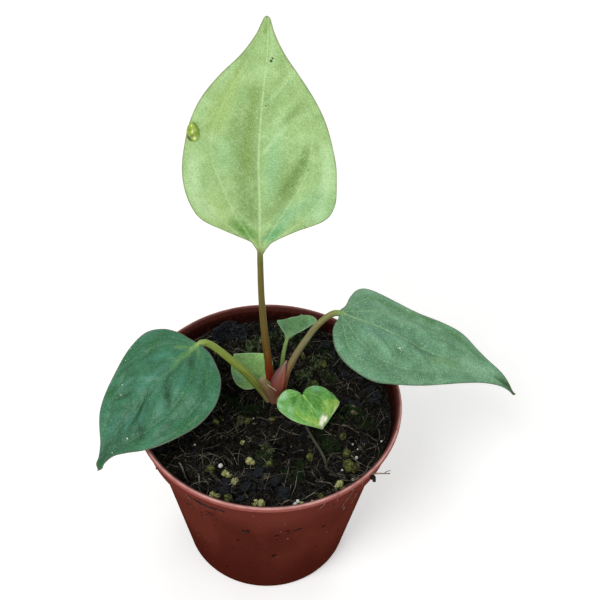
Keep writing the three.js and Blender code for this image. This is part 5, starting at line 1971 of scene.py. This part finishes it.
            (1.6, 0, 4, 3, 0, "pale", 0.7), (10, -3, 4, 3, 0, "dark", 0.5), (5, 4, 3, 2, 30, "dark", 0.4),
        ],
        "dots": [],
    },
    "blade_front": {
        "base": "#5da245",
        "pale": "#82c468",
        "deep": "#4c8a32",
        "furrowShade": ("#478030", 0.15),
        "panel": ("#76b668", 0.35),
        "vein": "#a4cc5c",
        "sideVein": "#86bb5c",
        "edge": "#94bc76",
        "under": "#7ea660",
        "speck": "#a8cc8c",
        "ribShare": (0.5, -0.25),
        "veinShare": (0.08, 0.04),
        "rough": 0.33,
        "tones": {
            "deep": "#2b6a1a", "grass": "#3a7e14", "pale": "#a4daa6", "teal": "#7abf94", "lime": "#98c848",
            "yellow": "#b3d55c", "straw": "#dfe7a8", "cream": "#fffde6", "tan": "#b9a08c",
        },
        # The pale patches along the lobes' rims and the fold, and the lime patch at (8.4, -6), are painted
        # highlights.
        "patches": [
            (2.2, 0.5, 3, 0.6, 8, "lime", 0.7), (0.5, 8, 3, 3, 0, "teal", 0.85),
            (-1.6, 10.4, 2.4, 1.6, 10, "pale", 0.7), (8.6, 0.6, 3, 1.2, 20, "lime", 0.5),
            (4.4, 3.2, 4, 2.3, 20, "grass", 0.85), (8.4, 3.6, 2.8, 1.7, 30, "grass", 0.75),
            (3, 7, 3, 1.6, 60, "deep", 0.4), (1.8, -4.7, 3.8, 2, -40, "deep", 0.85),
            (6.4, -2.4, 3, 1.8, 0, "deep", 0.4), (-2.6, -7.8, 2.6, 4, 0, "pale", 0.95),
            (5, -8.2, 3.4, 2, 10, "pale", 0.7), (0.4, -11.4, 4, 1.6, 20, "pale", 0.85),
            (8, -10, 4, 1.2, 28, "pale", 0.5), (8.6, 8.4, 2, 4, 10, "yellow", 0.55),
            (10.6, 12, 3, 4.4, 20, "yellow", 0.75), (12.4, 6.4, 4.4, 3.4, -50, "yellow", 0.55),
            (15, -1, 3, 2.4, 0, "yellow", 0.8), (8.4, -6, 4, 2.2, 10, "lime", 0.65),
            (12.4, -3.4, 3, 2, 0, "yellow", 0.6), (10.8, -2.1, 2.8, 1.2, 0, "lime", 0.5),
            (7.6, 1.3, 2, 0.5, 24, "pale", 0.7),
        ],
        "over": [
            (13.4, 10.4, 5, 1.1, -62, "straw", 0.85), (10.8, 14.6, 1.6, 1.4, 0, "straw", 0.8),
            (14.6, 3, 3.6, 1.8, -58, "cream", 1.0), (15.4, 2.4, 2.6, 1.7, -58, "cream", 1.0),
            (16.4, 0.4, 1.8, 1.5, 0, "cream", 0.9), (17.4, -0.4, 0.9, 0.9, 0, "tan", 0.7),
            (18.4, 0.2, 0.9, 0.9, 0, "tan", 0.9),
        ],
        "dots": [
            (18.1, 0.5, 0.3, "#5b3c28"), (17.4, -0.8, 0.25, "#7d5a43"), (18.2, -0.4, 0.25, "#4b3020"),
            (9.5, -0.2, 0.28, "#e8f4e0"), (-3.4, -6, 0.3, "#dff0dc"),
        ],
    },
}


def layPatches(finish, loose, look, key, shown):
    for x, y, reachAlong, reachAcross, turn, tone, share in look.get(key, []):
        lying = finish.patch(loose, (x, y, 0), turn, (reachAlong, reachAcross, 1))
        away = finish.distance(lying, (0, 0, 0))
        finish.lay(away.step(0.2, 1.15, share * shown, 0.0), look["tones"][tone])


def bladeFinish(name, blade, look, upper):
    finish = Finish(name, Specular_IOR_Level=0.28)
    flat = finish.read("flat", "Vector")
    veins = finish.read("veins", "Vector")
    gaps = finish.read("gaps", "Vector")
    place = finish.place()
    shown = 1.0 if upper else 0.45
    clouds = finish.noise(flat, 0.11, 3.0)
    finish.colour = tint(look["base"] if upper else look["under"])
    finish.lay(clouds.step(0.42, 0.66) * (0.8 * shown), look["pale"])
    shade = finish.noise(finish.moved(flat, (40, 12, 5)), 0.15, 4.0, 0.6)
    finish.lay(shade.step(0.48, 0.7) * (0.7 * shown), look["deep"])
    # painted light on the raised panels between the veins, in patches
    panelLightCode, panelLightShare = look["panel"]
    panel = gaps.part("Z").step(1.2, 4.2) * finish.noise(flat, 0.13, 2.0).step(0.38, 0.58)
    finish.lay(panel * (panelLightShare * shown), panelLightCode)
    # painted shade in the furrows along the veins, in patches
    furrowShadeCode, furrowShadeShare = look["furrowShade"]
    furrowShade = gaps.part("Z").step(0.3, 2.6, 1.0, 0.0) * finish.noise(flat, 0.1, 2.0).step(0.4, 0.6)
    finish.lay(furrowShade * (furrowShadeShare * shown), furrowShadeCode)
    loose = finish.wander(flat, 0.3, 1.2)
    layPatches(finish, loose, look, "patches", shown)
    mesh = finish.cells(finish.wander(flat, 0.8, 0.3), 0.62, "DISTANCE_TO_EDGE").step(0.02, 0.12, 1.0, 0.0)
    finish.lay(mesh * (0.14 * shown), look["sideVein"])
    sideVein = veins.part("Z").step(0.4, 1.9, look["veinShare"][1], 0.0)
    finish.lay(sideVein, look["sideVein"])
    fade = flat.part("X").step(0.3 * blade["length"], 0.75 * blade["length"], 1.0, 0.4)
    chief = veins.part("Y").step(0.4, 1.9, look["veinShare"][0], 0.0) * fade
    finish.lay(chief, look["vein"])
    away = finish.node("ShaderNodeMath", {"operation": "ABSOLUTE"}, {0: veins.part("X")})
    rib = away.step(0.2, 1.7, 1.0, 0.0) * flat.part("X").step(0, blade["length"], *look["ribShare"])
    finish.lay(rib, look["vein"])
    grain = finish.noise(place, look.get("grain", 1.8), 3.0, 0.7)
    finish.lay(grain.step(0.51, 0.66) * 0.5, look["speck"])
    finish.lay(grain.step(0.49, 0.36) * 0.66, look["deep"])
    dust = finish.cells(place, 0.75).step(0.06, 0.11, 1.0, 0.0)
    dust = dust * finish.noise(place, 0.3, 1.0).step(0.5, 0.6)
    finish.lay(dust * 0.5, look["speck"])
    layPatches(finish, loose, look, "over", shown)
    if upper:
        for x, y, size, code in look["dots"]:
            away = finish.distance(finish.wander(flat, 1.4, 0.25), (x, y, 0))
            finish.lay(away.step(0.5 * size, 1.1 * size, 1.0, 0.0), code)
    rim = finish.noise(flat, 0.2, 2.0).step(0.3, 0.6, 0.5, 1.0) * gaps.part("X").step(0.2, 0.8, 1.0, 0.0)
    finish.lay(rim * 0.6, look["edge"])
    finish.paint(look["rough"] + 0.12 * grain + (0.0 if upper else 0.12))
    finish.bump(grain * 0.45 + mesh * 0.25 + finish.cells(place, 1.3) * 0.3, 0.3, 0.35)
    return finish


for bladeName, bladeValues in blades.items():
    bladePiece = bladeSurface(bladeName + ".leaf", bladeValues)
    bladeLook = looks[bladeName]
    top = bladeFinish(bladeName + "Top", bladeValues, bladeLook, True)
    underside = bladeFinish(bladeName + "Under", bladeValues, bladeLook, False)
    pick(bladePiece)
    smoothUpTo(70)
    settle(bladePiece, [top, underside], bladeValues["slot"], bladeName)


# Water drop that clings to the left margin of the upright blade

drop = {
    "x": 54,
    "y": 27.3,
    "size": (4.0, 2.1, 1.5),
    "water": "#7c9832",
    "light": "#a3b84a",
    # painted shade and glints: the three dark marks are the drop's shaded side, the three pale ones painted
    # glints
    "glintsAndShade": [  # x and height of the middle, reach, colour, share
        ((-32.6, 209.6), 1.5, "#3b4a12", 0.9), ((-31.9, 207.4), 1.3, "#4a5a1c", 0.8),
        ((-31.4, 211.4), 0.9, "#56701e", 0.7), ((-30.2, 210), 0.7, "#dde6a4", 0.9),
        ((-31.2, 213), 0.6, "#e8efc0", 0.8), ((-30.6, 207.2), 0.5, "#cfdc8c", 0.8),
    ],
}


def dropFinish():
    finish = Finish("waterDrop", Specular_IOR_Level=0.5)
    place = finish.place()
    level = finish.noise(place, 0.5, 2.0)
    finish.colour = tint(drop["water"])
    finish.lay(level.step(0.4, 0.6), drop["light"])
    # painted shade and painted glints on the drop
    for spot, reach, code, share in drop["glintsAndShade"]:
        loose = finish.scaled(finish.wander(place, 0.6, 0.5), (1, 0, 0.6))
        away = finish.distance(loose, (spot[0], 0, 0.6 * spot[1]))
        finish.lay(away.step(0.3 * reach, reach, share, 0.0), code)
    finish.paint(0.06 + 0.04 * level)
    return finish


def makeDrop():
    unpickAll()
    bpy.ops.mesh.primitive_uv_sphere_add(segments=40, ring_count=24, radius=1)
    piece = startPiece("waterDrop")
    spots = corners(piece)
    blade = blades["blade_back"]
    spot = np.array([drop["x"]], float)
    y, v, side = np.array([[drop["y"]], [0.9], [1.0]])
    point, normal = bladeSpots(blade, spot, y, spot / blade["length"], v, side)
    _, left, up = midribFrame(blade, spot)
    ahead = np.cross(left[0], up[0])
    sag = 1 + 0.2 * (1 - spots[:, 0])
    long, wide, tall = drop["size"]
    flat = np.where(spots[:, 2] < 0, 0.25, 1.0)
    moved = spots[:, :1] * long * ahead + (spots[:, 1] * sag * wide)[:, None] * left[0]
    moved = moved + (spots[:, 2] * flat * tall)[:, None] * normal[0] + point[0] + normal[0] * 0.4
    shape(piece, moved * mm)
    tidyNormals(piece, 80)
    settle(piece, [dropFinish()], "blade_back")


makeDrop()


# Dirt on the pot wall, a root that sticks out over the rim, and hairs that hang from it

spill = {
    "patches": [  # angle, height, how far it spreads in degrees and in millimetres, how many, size
        (-122, 87.2, 3.4, 0.8, 26, 0.38), (-118.4, 86.4, 3, 0.9, 26, 0.4), (-115, 86.2, 3, 0.8, 20, 0.38),
        (-111, 87.4, 3.2, 0.8, 22, 0.35), (-117, 77, 5, 2.4, 14, 0.33), (-125, 76, 5, 6, 10, 0.35),
        (-79, 66, 7, 4, 12, 0.3), (-101, 64.6, 1.6, 1.2, 8, 0.56), (-74.6, 64.8, 1.4, 0.5, 5, 0.5),
        (-95, 46, 16, 8, 8, 0.3), (-70, 24, 26, 10, 8, 0.3), (-54, 86, 8, 4, 10, 0.33),
        (40, 70, 30, 12, 22, 0.38), (130, 74, 30, 12, 22, 0.38), (-170, 76, 20, 12, 16, 0.38),
    ],
    "roots": [
        ([(43.6, -41.6, 95.4), (46.4, -42.2, 96.6), (48.8, -42.1, 96.4), (51.4, -41.9, 96.2)], 0.4),
        ([(48.6, -42.1, 96.4), (50.2, -41.3, 97), (51.6, -41.2, 97.3)], 0.26),
        ([(31.5, -47.6, 93.6), (34, -49.6, 95.9), (35.4, -49, 95.4), (35.5, -48.6, 92.4)], 0.14),
        ([(27, -47, 92), (28.6, -51, 96.2), (29, -52.7, 95.2), (28.8, -52.8, 91.6)], 0.12),
        ([(36, -42, 91), (38.4, -44.6, 96.2), (39.6, -45.4, 95.6), (39.6, -45.3, 92)], 0.13),
    ],
    "hairs": [  # angle and height of both ends, thickness
        (-53.2, 89, -54.6, 76, 0.2), (-53.6, 76, -52, 66, 0.16), (-66.6, 94, -67.8, 87, 0.16),
        (-48, 82, -47.4, 72, 0.1), (-126, 88, -124, 82, 0.1),
    ],
    "clod": (44.4, -41.8, 93.2),
}


def makeSpill():
    models = [lumpModel("spot", 2, 0.5, k * 1.3 + 40) for k in range(4)]
    places = []
    for angle, z, spreadAngle, spreadHeight, count, size in spill["patches"]:
        for k in range(count):
            bearing = angle + dice.uniform(-1, 1) * spreadAngle
            height = z + dice.uniform(-1, 1) * spreadHeight
            bit = size * dice.uniform(0.35, 1.3)
            turn = (0, math.radians(90), math.radians(bearing))
            flat = np.array([0.8, dice.uniform(0.8, 2.2), 0.45]) * bit * mm
            places.append((outsideSpot(bearing, height, 0.05), turn, flat, dice.uniform(0, 0.7)))
    places.append((spill["clod"], anyTurn(), np.array([1.6, 1.2, 1.1]) * mm, 0.1))
    lower = np.array(spill["clod"]) + (0.6, -0.4, -1.2)
    places.append((lower, anyTurn(), np.array([0.8, 0.7, 0.9]) * mm, 0.2))
    strew("wallDirt", models, places, threadFinish("wallDirt"))


def makeRimRoots():
    routes = []
    for points, thick in spill["roots"]:
        routes.append((smoothLine(points, np.linspace(0, 1, 7 * len(points)), True), thick))
    for angle, z, endAngle, endHeight, thick in spill["hairs"]:
        route = []
        for part in np.linspace(0, 1, 12):
            bearing = angle + (endAngle - angle) * part + 0.5 * math.sin(5 * part + z)
            route.append(outsideSpot(bearing, z + (endHeight - z) * part, thick))
        routes.append((route, thick))
    layThreads("rimRoots", routes, threadFinish("rimRoot"))


makeSpill()
makeRimRoots()


# Pale sliver of dry sheath that lies across the crown

sliver = {"route": [(-0.5, 0.8, 103), (1.4, 0, 102.1), (3.4, -0.8, 100.8)], "thick": 0.17}


def makeSliver():
    line = smoothLine(sliver["route"], np.linspace(0, 1, 14), True)
    layThreads("crownSliver", [(line, sliver["thick"])], threadFinish("drySliver"), "crown")


makeSliver()
